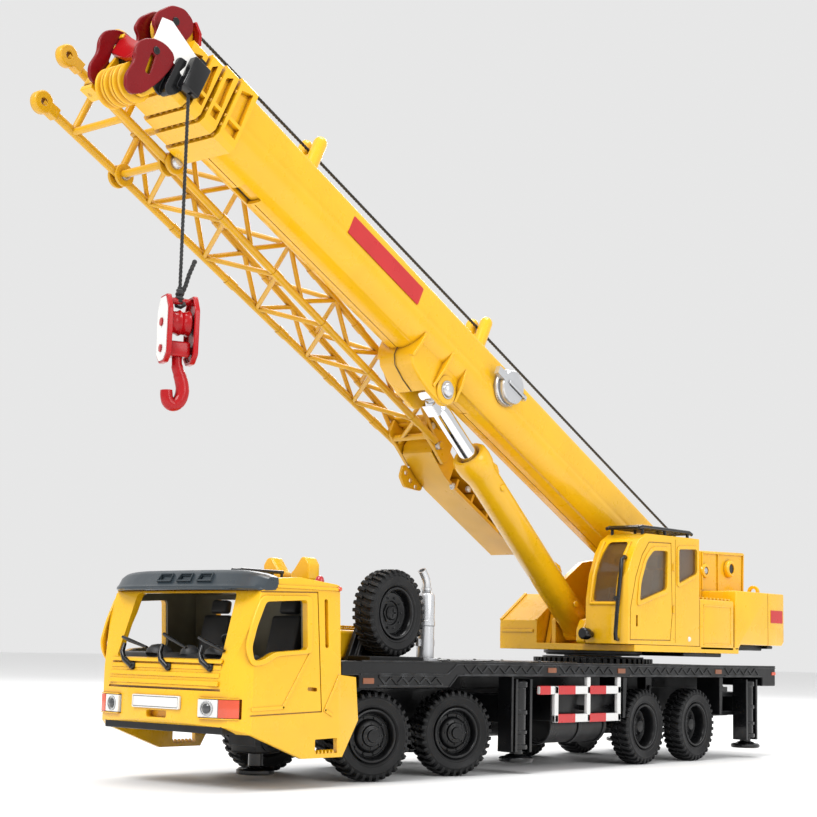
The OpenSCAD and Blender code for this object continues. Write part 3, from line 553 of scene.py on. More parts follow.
def rear_rim(shape):
    """Deep dish with a bolt ring and a small hub."""
    rim_ring(shape)
    shape.lathe([(0.02, -2.4), (5.55, -2.4), (5.55, -0.9), (5.1, -0.6), (4.6, -0.9), (3.0, -0.9),
        (2.7, 0.2), (2.1, 0.5), (1.7, 1.2), (0.9, 1.35), (0.02, 1.4)], sides=48)
    bolt_circle(shape, 3.85, 10, -0.9)
    bolt_circle(shape, 2.4, 6, 0.35, 0.2, 0.25)
    return shape


def add_wheels():
    for name, side in SIDES.items():
        for i, x in FRONT_AXLES.items():
            where = wheel_frame(x, side, 18, STEER)
            body = f"wheel_{name}_{i}"
            tyre_shape(Shape(where)).done(f"front_tyre_{name}_{i}", TYRE, body, 0.1, 1,
                replaces=f"tyre_{name}_{i}")
            front_rim(Shape(where)).done(f"front_rim_{name}_{i}", WHEEL_BLACK, body, 0.07, 2,
                replaces=f"rim_{name}_{i}")
            dress(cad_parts[f"knuckle_{name}_{i}"], WHEEL_BLACK)
    for i, x in REAR_AXLES.items():
        for name, side in SIDES.items():
            where = wheel_frame(x, side, 20.8)
            tyre_shape(Shape(where)).done(f"rear_tyre_{name}_{i}", TYRE, f"rear_wheels_{i}", 0.1, 1,
                                          replaces=f"tyres_rear_{i}")
            rear_rim(Shape(where)).done(f"rear_rim_{name}_{i}", WHEEL_BLACK, f"rear_wheels_{i}", 0.07, 2,
                                        replaces=f"wheelset_rear_{i}")
        axle = Shape().bar((x, -20, WHEEL_R), (x, 20, WHEEL_R), 1.2)
        axle.done(f"rear_axle_{i}", WHEEL_BLACK, f"rear_wheels_{i}", 0.1)


def add_spare_wheel():
    where = TRUCK @ Matrix.Translation(SPARE) @ Matrix.Rotation(-pi / 2, 4, "X")
    tyre_shape(Shape(where)).done("spare_tyre", TYRE, "carrier", 0.1, 1, replaces="spare_wheel")
    rim = Shape(where)
    rim_ring(rim)
    rim.lathe([(0.02, -1.2), (5.55, -1.2), (5.55, 0.6), (5.1, 0.9), (4.5, 0.7), (3.2, 0.7), (2.9, 0.2),
        (0.02, 0.2)], sides=48)
    bolt_circle(rim, 3.9, 10, 0.7)
    rim.done("spare_rim", WHEEL_BLACK, "carrier", 0.07, 2)
    screw = Shape(where).lathe([(0.02, 0.2), (1.9, 0.2), (1.9, 1.0), (1.5, 1.35), (0.02, 1.5)])
    slots = Shape(where).box((-1.2, -0.22, 1.0), (1.2, 0.22, 2.0)).box((-0.22, -1.2, 1.0), (0.22, 1.2, 2.0))
    screw.done("spare_wheel_screw", WHEEL_BLACK, "carrier", 0.08, cut=slots)
    nut = Shape(where)
    hexagon(nut, (0, 0, 0.2), (0, 0, 1), 2.6, 0.5)
    nut.done("spare_wheel_nut", WHEEL_BLACK, "carrier", 0.08)


# ---------------------------------------------------------------- truck cab

HALF_W = 25
CAB_SIDE = [(23, 15.2), (22.6, 14.7), (0, 6.9), (-13.8, 6.9), (-19.2, 15.4), (-18, 25.6), (-12.6, 26.1),
    (-11.4, 46.6), (-10.4, 47.4), (2.6, 48.6), (10.5, 47.9), (15, 45), (20.2, 29.2), (22.1, 22.6),
    (23, 21.8)]
CAB_PLAN = [(-30, -25), (16.8, -25), (20.9, -21.4), (22.7, -10), (23.2, 0), (22.7, 10), (20.9, 21.4),
    (16.8, 25), (-30, 25)]
CAB_ROOM = [(-11, 23.8), (-10, 45.2), (2.4, 47.2), (9.4, 46.7), (13.4, 44), (18.6, 29), (20.3, 23.8)]
DOOR = [(16.0, 44.7), (-3.6, 45.3), (-6.1, 17.6), (18.0, 16.9), (18.9, 30.5), (20.0, 33.4)]
DOOR_WINDOW = [(13.6, 42.5), (0.2, 43.3), (-0.5, 31.9), (10.2, 31.2), (14.1, 29.4), (16.9, 29.2),
    (17.7, 32.2), (16.2, 37.0)]
WINDOW_FRAME = [(15.2, 43.9), (-1.5, 44.4), (-2.1, 31.0), (9.5, 30.2), (13.5, 28.2), (17.4, 27.9),
    (19.1, 30.6), (19.5, 33.0), (17.9, 38.2)]


REAR_GLASS = [(-16, 39.4), (-6.5, 39.4), (-6.5, 43.8), (-16, 43.8)]
LAMP_POCKET = [(30, 13.2), (20.2, 13.2), (19.6, 19.0), (17.9, 22.3), (19.4, 25.0), (30, 25.0)]


# The near side of the centre plane has positive Y
HAND = {1: "near", -1: "far"}


def outward(side, low, high):
    """Y from low to high, counted outwards from the centre plane on either side."""
    return (low, high) if side > 0 else (-high, -low)


def add_cab():
    body = Shape().prism(CAB_SIDE, -HALF_W, HALF_W)
    plan = Shape().slab(CAB_PLAN, -5, 60)
    room = Shape().prism(CAB_ROOM, -HALF_W + 1.3, HALF_W - 1.3)
    cut = solid(room, keep=Shape().slab(grown(CAB_PLAN, -1.3), -5, 60))
    cut.box((-35, -HALF_W + 1.2, -5), (16.4, HALF_W - 1.2, 22.2))
    cut.box((-35, -HALF_W + 1.2, 18), (-12.4, HALF_W - 1.2, 30))
    cut.prism(rounded(DOOR_WINDOW, 1.0), -40, 40)
    wall(cut, rounded([(-17.9, 29.3), (17.9, 29.3), (17.1, 44.5), (-17.1, 44.5)], 0.8), 7, 40)
    wall(cut, rounded(REAR_GLASS, 0.8), -20, -5)
    cut.box((20.9, -19.05, 22.15), (30, 19.05, 22.65))
    wall(cut, rounded([(-3.4, 15.7), (3.4, 15.7), (3.4, 17.3), (-3.4, 17.3)], 0.5), 21.2, 30)
    for side in (1, -1):
        y0, y1 = outward(side, HALF_W - 0.4, HALF_W + 2)
        side_line(cut, DOOR, 0.32, y0, y1, closed=True)
        cut.prism(rounded([(-1.1, 23.3), (-4.4, 23.1), (-4.4, 22.2), (-1.1, 22.4)], 0.4),
            *outward(side, HALF_W - 0.9, HALF_W + 2))
        cut.prism(rounded([(-6.0, 43.8), (-7.2, 43.8), (-8.0, 32.4), (-6.8, 32.4)], 0.5),
            *outward(side, HALF_W - 1.1, HALF_W + 2))
        step = [(-4.2, 11.2), (-11.8, 11.4), (-12, 7.9), (-4.2, 7.9)]
        cut.prism(rounded(step, 0.3), *outward(side, HALF_W - 3, HALF_W + 3))
        cut.slab([(x, side * y) for x, y in LAMP_POCKET], 16.1, 20.5)
    shell = solid(body, soften=0.7, steps=3, keep=plan, cut=cut)
    shell.done("truck_cab", YELLOW_TRUCK, "carrier", 0.14, 2, replaces="cab_shell", smooth=50)
    for side in (1, -1):
        name = HAND[side]
        y0, y1 = outward(side, HALF_W - 0.3, HALF_W + 0.42)
        relief = Shape()
        ring_out, ring_in = rounded(WINDOW_FRAME, 1.6), rounded(DOOR_WINDOW, 1.0)
        relief.prism(ring_out, y0, y1)
        hole = Shape().prism(ring_in, -40, 40)
        relief.done(f"window_frame_{name}", YELLOW_TRUCK, "carrier", 0.3, 3, cut=hole, smooth=50)
        ridge = Shape()
        side_line(ridge, [(-1.4, 30.6), (6.9, 18.7), (16.6, 18.3)], 0.9,
            *outward(side, HALF_W - 0.2, HALF_W + 0.22))
        side_line(ridge, [(-11.9, 25.7), (-7.3, 17.9), (-9.4, 16.9)], 0.9,
            *outward(side, HALF_W - 0.2, HALF_W + 0.28))
        ridge.done(f"door_creases_{name}", YELLOW_TRUCK, "carrier", 0.2, 3)
        teeth = Shape()
        for i in range(6):
            x = -11.2 + i * 1.25
            teeth.prism([(x, 7.8), (x + 1.0, 7.8), (x + 0.5, 8.8)],
                *outward(side, HALF_W - 1.1, HALF_W - 0.1))
        teeth.done(f"step_teeth_{name}", YELLOW_TRUCK, "carrier", 0.08, 2)
    ribs = Shape()
    for z in (23.6, 25.4, 27.2):
        x = 22.1 - (z - 22.6) * 0.288
        ribs.prism([(x - 0.8, z - 0.35), (x + 0.28, z - 0.35), (x + 0.12, z + 0.75), (x - 0.8, z + 0.9)],
            -18.7, 18.7)
    ribs.prism([(20.3, 28.4), (21.3, 28.3), (21.0, 29.1), (20.1, 29.3)], -18.9, 18.9)
    ribs.done("front_panel_ribs", YELLOW_TRUCK, "carrier", 0.22, 3)
    gutter = Shape()
    for side in (1, -1):
        y0, y1 = outward(side, HALF_W - 0.3, HALF_W + 0.35)
        side_line(gutter, [(-11.4, 46.3), (9.8, 46.2)], 0.7, y0, y1)
    gutter.tube([(-11.6, -24.4, 47.0), (-11.7, -8, 47.1), (-11.7, 8, 47.1), (-11.6, 24.4, 47.0)], 0.35, 8)
    gutter.done("roof_gutter", YELLOW_TRUCK, "carrier", 0.15, 2)
    add_cab_lining()
    add_cab_fittings()


def add_cab_lining():
    """Thin dark lining on the cab's inner walls and ceiling, open where the windows are."""
    plan = Shape().slab(grown(CAB_PLAN, -1.35), -5, 60)
    cut = Shape().prism(grown(CAB_ROOM, -0.45), -HALF_W + 1.8, HALF_W - 1.8)
    cut = solid(cut, keep=Shape().slab(grown(CAB_PLAN, -1.9), -5, 60))
    cut.prism(rounded(grown(DOOR_WINDOW, 0.1), 1.0), -40, 40)
    wall(cut, rounded([(-18.4, 29.0), (18.4, 29.0), (17.6, 45.0), (-17.6, 45.0)], 0.8), 8, 40)
    wall(cut, rounded(REAR_GLASS, 0.8), -20, -5)
    lining = solid(Shape().prism(grown(CAB_ROOM, -0.05), -HALF_W + 1.35, HALF_W - 1.35), keep=plan, cut=cut)
    lining.done("cab_lining", LINING, "carrier", 0)


def add_cab_fittings():
    for side in (1, -1):
        name = HAND[side]
        plan = [(20.3, 13.6), (22.95, 13.6), (22.0, 19.2), (21.3, 21.4), (19.2, 23.3), (18.2, 22.2),
            (19.7, 19.4)]
        plan = [(x, side * y) for x, y in plan]
        clear = solid(Shape().slab(plan, 16.3, 20.35), 0.25, 3)
        inner = Shape().slab([(x, side * y) for x, y in [(10, 13), (30, 13), (30, 19.1), (10, 19.1)]], 0, 40)
        outer = Shape().slab([(x, side * y) for x, y in [(10, 19.3), (30, 19.3), (30, 26), (10, 26)]], 0, 40)
        solid(clear, keep=inner).done(f"headlamp_{name}", LAMP, "carrier", 0.15, 2,
                                      replaces="headlamps" if side > 0 else ())
        second = solid(Shape().slab(plan, 16.3, 20.35), 0.25, 3, keep=outer)
        second.done(f"indicator_{name}", LAMP_RED, "carrier", 0.15, 2)
        lens = Shape().lathe([(1.15, 0), (1.15, 0.35), (0.8, 0.65), (0.02, 0.75)], (22.4, side * 16.2, 18.3),
                             (0.985, side * 0.17, 0))
        lens.done(f"headlamp_lens_{name}", LENS, "carrier", 0.06)
        rings = Shape()
        rings.lathe([(1.5, 0), (1.75, 0), (1.75, 0.45), (1.5, 0.45)], (22.35, side * 16.2, 18.3),
                    (0.985, side * 0.17, 0), loop=True)
        rings.done(f"headlamp_bezel_{name}", SILVER, "carrier", 0.05)
        frame_box = Shape()
        for z in (15.95, 20.45):
            frame_box.slab([(x + 0.05, y) for x, y in plan], z, z + 0.25)
        frame_box.done(f"lamp_frame_{name}", YELLOW_TRUCK, "carrier", 0.08)
    plate = Shape()
    wall(plate, rounded([(-8, 17.75), (8, 17.75), (8, 20.75), (-8, 20.75)], 0.35), 22.85, 23.5)
    plate.done("number_plate_blank", PLATE, "carrier", 0.08)
    border = Shape()
    inset = [(-7.6, 18.1), (7.6, 18.1), (7.6, 20.4), (-7.6, 20.4)]
    border.tube([(23.5, y, z) for y, z in inset], 0.07, 8, closed=True)
    border.done("number_plate_border", INTERIOR, "carrier", 0)
    for i, (base, elbow, top, far) in enumerate((((-11.2, 27.1), (-15.2, 30.4), (-17.3, 33.9), (-7.8, 31.6)),
                                                 ((1.3, 27.1), (-1.9, 30.4), (-3.1, 34.8), (5.8, 31.7)),
                                                 ((15.3, 27.2), (11.7, 30.2), (9.2, 34.1), (18.6, 31.2)))):
        def on_screen(p, lift):
            return Vector((22.1 - (p[1] - 22.6) * 0.32 + lift, p[0], p[1]))
        wiper = Shape()
        wiper.lathe([(0.02, 0), (0.95, 0), (0.95, 0.9), (0.6, 1.2), (0.02, 1.25)], on_screen(base, -0.3),
            (0.95, 0, 0.3))
        wiper.tube([on_screen(base, 0.5),
            on_screen(((base[0] + elbow[0]) / 2 - 0.8, (base[1] + elbow[1]) / 2), 1.1),
            on_screen(elbow, 1.3), on_screen((elbow[0] - 0.2, elbow[1] + 2.0), 1.1)],
            [0.75, 0.7, 0.6, 0.45], 12)
        wiper.tube([on_screen(top, 0.7), on_screen(((top[0] * 2 + far[0]) / 3, (top[1] * 2 + far[1]) / 3),
            0.95), on_screen(far, 0.7)], [0.4, 0.5, 0.35], 10)
        wiper.tube([on_screen(top, 0.35), on_screen(far, 0.35)], 0.24, 8)
        wiper.done(f"wiper_{i + 1}", GLOSS_BLACK, "carrier", 0.05)
    beacon = Shape().lathe([(0.02, 0), (1.1, 0), (1.1, 0.6), (0.95, 1.3), (0.6, 1.75), (0.02, 1.9)],
        (-9.5, 20, 47.7))
    beacon.done("roof_beacon", BEACON, "carrier", 0.08)
    marker = Shape().lathe([(0.02, 0), (0.6, 0), (0.45, 0.4), (0.02, 0.5)], (-11.0, 25.2, 46.4), (0, 1, 0))
    marker.done("roof_marker", LAMP_RED, "carrier", 0.05)
    under = Shape().box((10, -20, 12.6), (21.2, 20, 14.6)).box((16.6, -18, 14.6), (20.6, 18, 22.0))
    under.done("bumper_backing", BLACK, "carrier", 0.3)
    rack = Shape()
    for y in (8.4, 11.6):
        rack.tube([(8.5, y, 50.2), (-5.4, y, 50.2)], 0.45, 10)
    for i in range(9):
        x = 8.0 - i * 1.65
        rack.tube([(x, 8.2, 50.2), (x, 11.8, 50.2)], 0.34, 8)
    for x in (7, 0, -5):
        for y in (8.4, 11.6):
            rack.tube([(x, y, 50.2), (x, y, 47.6)], 0.35, 8)
    rack.done("roof_ladder_rack", GLOSS_BLACK, "carrier", 0)


def add_interior():
    dash = Shape()
    dash.prism([(11.5, 24), (11.5, 29.6), (13.0, 30.6), (16.2, 30.4), (18.4, 28.4), (19.4, 24)], -22.4, 22.4)
    solid(dash, 0.5, 3).done("dashboard", INTERIOR, "carrier", 0.1, replaces="cab_interior")
    for y, r in ((-9, 3.4), (11.8, 3.8), (1.5, 2.4)):
        hump = Shape().lathe([(0.02, -0.2), (r, -0.2), (r * 0.96, 0.8), (r * 0.7, 1.9), (r * 0.3, 2.4),
            (0.02, 2.5)], (14.6, y, 29.9), (-0.2, 0, 1), 32)
        hump.done(f"dash_hump_{int(y + 20)}", INTERIOR, "carrier", 0)
    for i, y in enumerate((-12, 12)):
        seat = Shape().box((-7.5, y - 5.2, 24), (4, y + 5.2, 26.6))
        solid(seat, 0.5, 3).done(f"seat_base_{i}", INTERIOR, "carrier", 0.1)
        cushion = Shape().box((-6.5, y - 4.9, 26.4), (4.4, y + 4.9, 29.2))
        solid(cushion, 1.1, 4).done(f"seat_cushion_{i}", INTERIOR, "carrier", 0.1)
        back = Shape().prism([(-6.6, 28.2), (-9.2, 39.6), (-6.4, 40.0), (-3.8, 29.0)], y - 4.7, y + 4.7)
        solid(back, 0.9, 4).done(f"seat_back_{i}", INTERIOR, "carrier", 0.1)
        head = Shape().prism([(-9.0, 40.1), (-9.6, 43.4), (-7.2, 43.8), (-6.4, 40.5)], y - 2.7, y + 2.7)
        solid(head, 0.8, 4).done(f"seat_headrest_{i}", INTERIOR, "carrier", 0.1)
    wheel = Shape()
    tilt = Vector((-0.6, 0, 0.8))
    wheel.lathe([(3.9 + 0.36 * cos(radians(a)), 0.36 * sin(radians(a))) for a in range(0, 360, 45)],
        (9.4, 12, 32.6), tilt, 40, loop=True)
    wheel.lathe([(0.02, -0.3), (1.0, -0.3), (0.9, 0.3), (0.02, 0.4)], (9.4, 12, 32.6), tilt)
    for k in range(3):
        t = 2 * pi * k / 3 + pi / 6
        across = Vector((0.8, 0, 0.6)) * cos(t) + Vector((0, 1, 0)) * sin(t)
        centre = Vector((9.4, 12, 32.6))
        wheel.tube([centre, centre + across * 3.8], 0.32, 8)
    wheel.tube([(9.4, 12, 32.6), (12.8, 12, 28.6)], 0.6, 10)
    wheel.done("steering_wheel", INTERIOR, "carrier", 0)


def add_visor():
    middle = [(9.6, 47.9), (14.4, 45.3), (19.4, 45.15), (20.0, 45.4), (19.9, 45.95), (18.7, 46.6),
        (17.1, 48.9), (15.6, 49.8), (12.6, 50.0), (9.6, 49.7)]
    end = [(9.8, 46.4), (10.8, 45.3), (13.8, 45.1), (14.4, 45.3), (14.4, 45.9), (14.1, 46.4), (13.5, 47.5),
        (12.9, 48.0), (11.8, 48.2), (10.0, 48.1)]
    visor = Shape()
    stations = 36
    rings = []
    for i in range(stations + 1):
        y = -25.2 + 50.4 * i / stations
        t = abs(y) / 25.2
        w = t ** 5 * 0.75 + t ** 16 * 0.25
        rings.append([Vector((a[0] + (b[0] - a[0]) * w, y, a[1] + (b[1] - a[1]) * w)) for a,
            b in zip(middle, end)])
    visor.skin(rings)
    cut = Shape().prism([(24, 43), (14.6, 45.5), (9, 48.15), (0, 48.6), (0, 40), (24, 40)], -24.2, 24.2)
    lean = Matrix.Rotation(radians(-35), 3, "Y")
    sockets = (-4.2, 2.6, 9.4)
    for y in sockets:
        cut.box((16.6, y - 1.9, 46.95), (19.2, y + 1.9, 48.55), lean)
    visor.done("sun_visor", SLATE, "carrier", 0.16, 3, cut=cut, replaces="cab_visor", smooth=34)
    rims = Shape()
    for y in sockets:
        corners = [Vector((0.62, -2.35, -1.05)), Vector((0.62, 2.35, -1.05)), Vector((0.62, 1.95, 1.0)),
            Vector((0.62, -1.95, 1.0))]
        rims.tube([Vector((17.45, y, 47.75)) + lean @ c for c in corners], 0.28, 8, closed=True)
        rims.box((17.0, y - 1.5, 47.3), (17.5, y + 1.5, 48.2), lean)
    rims.done("visor_lamp_rims", SLATE, "carrier", 0.06)
    lip = Shape()
    lip.tube([(14.6, -25.0, 45.4), (17.2, -21.6, 45.35), (19.2, -16.5, 45.35), (20.0, -8, 45.35),
        (20.1, 0, 45.35), (20.0, 8, 45.35), (19.2, 16.5, 45.35), (17.2, 21.6, 45.35), (14.6, 25.0, 45.4)],
        0.34, 8)
    lip.done("visor_lip", SLATE, "carrier", 0)


# ---------------------------------------------------------------- carrier

DECK_TOP = 29.4
EXHAUST = (-57.5, 14)
DECK_SIDE = [(-19.3, 23), (-19.3, 26), (-12.9, 26), (-12.9, DECK_TOP), (-231, DECK_TOP), (-231, 23),
    (-222, 23), (-222, 25.8), (-57.5, 25.8), (-54, 23)]


def add_behind_cab():
    cradle = Shape()
    for side in (1, -1):
        prong = [(1.6, 49.2), (8.0, 49.2), (8.0, 53.0), (6.8, 54.7), (5.2, 54.9), (2.6, 51.6), (1.6, 50.9)]
        wall(cradle, [(side * y, z) for y, z in prong], -22.4, -18.3)
    cradle = solid(cradle, 0.5, 3)
    cradle.box((-22.0, -7.0, 46.2), (-18.7, 7.0, 49.6))
    for side in (1, -1):
        cradle.box((-21.8, side * 5.2 - 1.3, DECK_TOP), (-18.9, side * 5.2 + 1.3, 46.6))
    cradle.box((-23.4, -8.0, DECK_TOP), (-17.6, 8.0, DECK_TOP + 1.4))
    cradle.done("boom_cradle", YELLOW_TRUCK, "carrier", 0.3, 3, replaces="boom_rest")
    cover = solid(Shape().box((-44, -16, DECK_TOP), (-24.4, 8.2, 37.0)), 1.0, 4)
    cover.done("engine_hood", YELLOW_TRUCK, "carrier", 0.1, replaces="engine_cover")
    cap = Shape()
    cap.box((-41.5, -12, 36.8), (-27.5, 6.5, 37.6))
    for i in range(7):
        cap.box((-40.6 + i * 1.9, -11, 37.6), (-39.5 + i * 1.9, 5.6, 38.2))
    cap.done("engine_hood_louvres", YELLOW_TRUCK, "carrier", 0.2, 3)
    latch = Shape()
    for x in (-40, -29):
        latch.box((x - 1, 8.1, 33.0), (x + 1, 8.7, 34.2)).bar((x, 8.7, 33.6), (x, 9.0, 33.6), 0.35)
    latch.done("engine_hood_latches", GLOSS_BLACK, "carrier", 0.1)
    x, y = EXHAUST
    pipe = Shape()
    pipe.lathe([(0.02, 0), (3.6, 0), (3.6, 0.9), (2.3, 1.0), (2.3, 9.2), (2.45, 9.4), (2.45, 10.6),
        (2.3, 10.8), (2.3, 16.9), (2.1, 17.6), (1.35, 18.2), (0.02, 18.3)], (x, y, DECK_TOP), sides=40)
    pipe.tube([(x, y, 47.0), (x, y, 49.6), (x + 0.3, y, 50.8), (x + 1.0, y, 51.9), (x + 2.0, y, 53.2)],
        1.15, 20)
    pipe.lathe([(1.15, 0), (1.4, 0), (1.4, 0.7), (1.15, 0.7)], (x, y, 48.0), loop=True)
    pipe.box((x - 3.4, y - 0.5, 33.4), (x - 1.8, y + 0.5, 35.2)).box((x + 1.8, y - 0.5, 33.4),
        (x + 3.4, y + 0.5, 35.2))
    bore = Shape().bar((x + 1.4, y, 52.4), (x + 2.6, y, 54.0), 0.8)
    pipe.done("exhaust_stack", SILVER, "carrier", 0.15, 3, cut=bore, replaces="exhaust")
    bracket = Shape().prism([(-31, DECK_TOP), (-38.2, 45), (-44.8, 45), (-52, DECK_TOP)], 9, 10.4)
    bracket.prism([(-31, DECK_TOP), (-31, DECK_TOP + 1.2), (-52, DECK_TOP + 1.2), (-52, DECK_TOP)], 10.4, 18)
    bracket.bar((-41.5, 10.4, 41.6), (-41.5, 12.4, 41.6), 2.0)
    for x0, x1, way in ((-35, -38.5, 1), (-48, -44.5, -1)):
        rib = [(x0, DECK_TOP + 1), (x1, 40), (x1 + way * 0.9, 40), (x0 + way * 1.4, DECK_TOP + 1)]
        bracket.prism(rib, 10.4, 11.4)
    lighten = Shape().prism(rounded([(-35.6, 31.6), (-39.2, 38.6), (-43.8, 38.6), (-47.4, 31.6)], 1.2), 5,
        10.9)
    bracket.done("spare_wheel_bracket", BLACK, "carrier", 0.25, 3, cut=lighten, replaces="spare_bracket")
    hatch = Shape()
    for low, high in (((-76, -19), (-62, -4)), ((-76, 4), (-62, 19)), ((-98, -20), (-80, 20)),
            ((-120, -20), (-102, -3)), ((-120, 3), (-102, 20))):
        hatch.box((*low, DECK_TOP - 0.1), (*high, DECK_TOP + 0.5))
        for y in (low[1] + 2, high[1] - 2):
            hatch.lathe([(0.02, 0), (0.55, 0), (0.4, 0.25), (0.02, 0.3)],
                (high[0] - 1.6, y, DECK_TOP + 0.5), sides=12)
    hatch.done("deck_hatches", BLACK, "carrier", 0.18)


def zigzag(shape, x0, x1, z_low, z_high, side, pitch=5.0):
    """Raised zigzag between two rails on the deck's edge."""
    y0, y1 = outward(side, HALF_W - 0.3, HALF_W + 0.26)
    count = max(2, round((x0 - x1) / pitch * 2))
    step = (x0 - x1) / count
    points = [(x0 - i * step, z_low if i % 2 else z_high) for i in range(count + 1)]
    side_line(shape, points, 0.5, y0, y1)
    for z in (z_low - 0.35, z_high + 0.35):
        side_line(shape, [(x0, z), (x1, z)], 0.4, y0, y1)


def add_deck():
    deck = Shape().prism(DECK_SIDE, -HALF_W, HALF_W).box((-222, -9.5, 22.2),
        (-54, 9.5, 25.9)).box((-54, -9.5, 22.2), (-20, 9.5, 23.2))
    cut = Shape().bar((SLEW_X, 0, 10), (SLEW_X, 0, 40), 9.2, 48)
    deck.done("deck_plate", BLACK, "carrier", 0.35, 3, cut=cut, replaces="deck")
    relief = Shape()
    rail = Shape()
    amber = Shape()
    gaps = [(-60.5, -95.5), (-104, -131), (-140, -188), (-197, -219)]
    for side in (1, -1):
        for x0, x1 in gaps:
            zigzag(relief, x0, x1, 26.7, 28.6, side)
        zigzag(relief, -26.5, -51, 23.9, 25.6, side, 4.4)
        y0, y1 = outward(side, HALF_W - 0.3, HALF_W + 0.24)
        side_line(relief, [(-19.6, 26.4), (-53.4, 26.4), (-57.2, 28.9), (-230.6, 28.95)], 0.35, y0, y1)
        side_line(relief, [(-54.2, 23.3), (-57.6, 26.1), (-221.6, 26.1)], 0.35, y0, y1)
        rail_y0, rail_y1 = outward(side, HALF_W - 0.3, HALF_W + 0.15)
        rail.box((-230.8, rail_y0, DECK_TOP - 0.15), (-20, rail_y1, DECK_TOP + 0.28))
        mark_y0, mark_y1 = outward(side, HALF_W - 0.3, HALF_W + 0.22)
        for x, z in ((-100, 27.6), (-135.5, 27.6), (-192.5, 27.6), (-22.5, 24.7)):
            amber.box((x - 2, mark_y0, z - 0.7), (x + 2, mark_y1, z + 0.7))
    relief.done("deck_edge_zigzag", BLACK, "carrier", 0.1, 2)
    rail.done("deck_edge_rail", BLACK, "carrier", 0.12, 2)
    amber.done("deck_side_markers", AMBER, "carrier", 0.15, 2)
    tread = Shape()
    for row in range(8):
        for i in range(26):
            x, y = -206 + i * 2.6 - (row % 2) * 1.3, -14 + row * 4
            if (x - SLEW_X) ** 2 + y ** 2 > 380 and x < -141:
                lean = 1 if (i + row) % 2 else -1
                tread.box((x - 0.75, y - 0.16, DECK_TOP - 0.1), (x + 0.75, y + 0.16, DECK_TOP + 0.16),
                    Matrix.Rotation(lean * 0.8, 3, "Z"))
    tread.done("deck_tread_plate", BLACK, "carrier", 0)
    tail = Shape()
    for side in (1, -1):
        tail.box((-231.7, side * 18 - 4.6, 24.0), (-230.8, side * 18 + 4.6, 28.4))
    tail.done("tail_lamp_housings", GLOSS_BLACK, "carrier", 0.25, 3)
    lamps = Shape()
    for side in (1, -1):
        for y in (15.4, 18.4, 21.2):
            lamps.lathe([(0.02, 0), (1.05, 0), (0.9, 0.4), (0.02, 0.55)], (-231.6, side * y, 26.2),
                (-1, 0, 0), 20)
        lamps.box((-230.9, side * 24.9 - 0.3, 26.6), (-228.4, side * 24.9 + 0.3, 27.6))
    lamps.done("tail_lamps", LAMP_RED, "carrier", 0.08)
    hitch = Shape().box((-231.6, -5, 17.5), (-228, 5, 22.5)).lathe(
        [(0.9, -0.6), (1.8, -0.6), (1.8, 0.6), (0.9, 0.6)], (-232.6, 0, 20), (0, 0, 1), 24, loop=True)
    hitch.done("rear_tow_eye", BLACK, "carrier", 0.2)


def add_chassis():
    Shape().node("chassis_frame").done("chassis_frame_detailed", BLACK, "carrier", 0.3, 2,
        replaces="chassis_frame")
    extra = Shape()
    for side in (1, -1):
        for x in (-106, -120, -133):
            extra.lathe([(5.1, -0.7), (5.6, -0.7), (5.6, 0.7), (5.1, 0.7)], (x, side * 15.5, 12.2),
                (1, 0, 0), 40, loop=True)
        for x in (-107.1, -134.1):
            extra.lathe([(5.2, -0.15), (4.7, 0.7), (0.02, 1.0)][::-1] + [(0.02, -0.2)],
                (x, side * 15.5, 12.2), (1 if x > -110 else -1, 0, 0), 40)
        for x in (-150.9, -180.9):
            for dx in (-5.5, 5.5):
                extra.tube([(x + dx, side * 8.6, 12.5), (x + dx, side * 12.5, 12.5)], 0.9, 12)
            extra.box((x - 7.5, side * 12 - 1.2, 13.6), (x + 7.5, side * 12 + 1.2, 14.9))
            extra.box((x - 5.5, side * 12 - 1.2, 12.5), (x + 5.5, side * 12 + 1.2, 13.6))
        extra.box((-167.6, side * 14 - 1.6, 12), (-164.2, side * 14 + 1.6, 25.8))
        extra.tube([(-165.9, side * 15.8, 23), (-164.4, side * 16.2, 19), (-166.6, side * 16.2, 15.5),
            (-165.9, side * 14, 12)], 0.7, 10)
        for x in (-137.5, -194.5):
            extra.prism([(x, 25.8), (x, 14), (x - 1.2, 14), (x - 2.2, 25.8)], *outward(side, 16, 24.4))
    extra.done("underside_tanks_and_links", BLACK, "carrier", 0.2, 2)
    prop = Shape()
    prop.bar((-190, 0, 17.5), (-20, 0, 17.5), 1.3, 20)
    for x in (-181, -151, -100, -64, -31):
        prop.lathe([(0.02, -2.4), (1.5, -2.4), (2.4, -1.2), (2.4, 1.2), (1.5, 2.4), (0.02, 2.4)],
            (x, 0, 17.5), (1, 0, 0), 24)
    prop.done("propeller_shaft", WHEEL_BLACK, "carrier", 0.12)


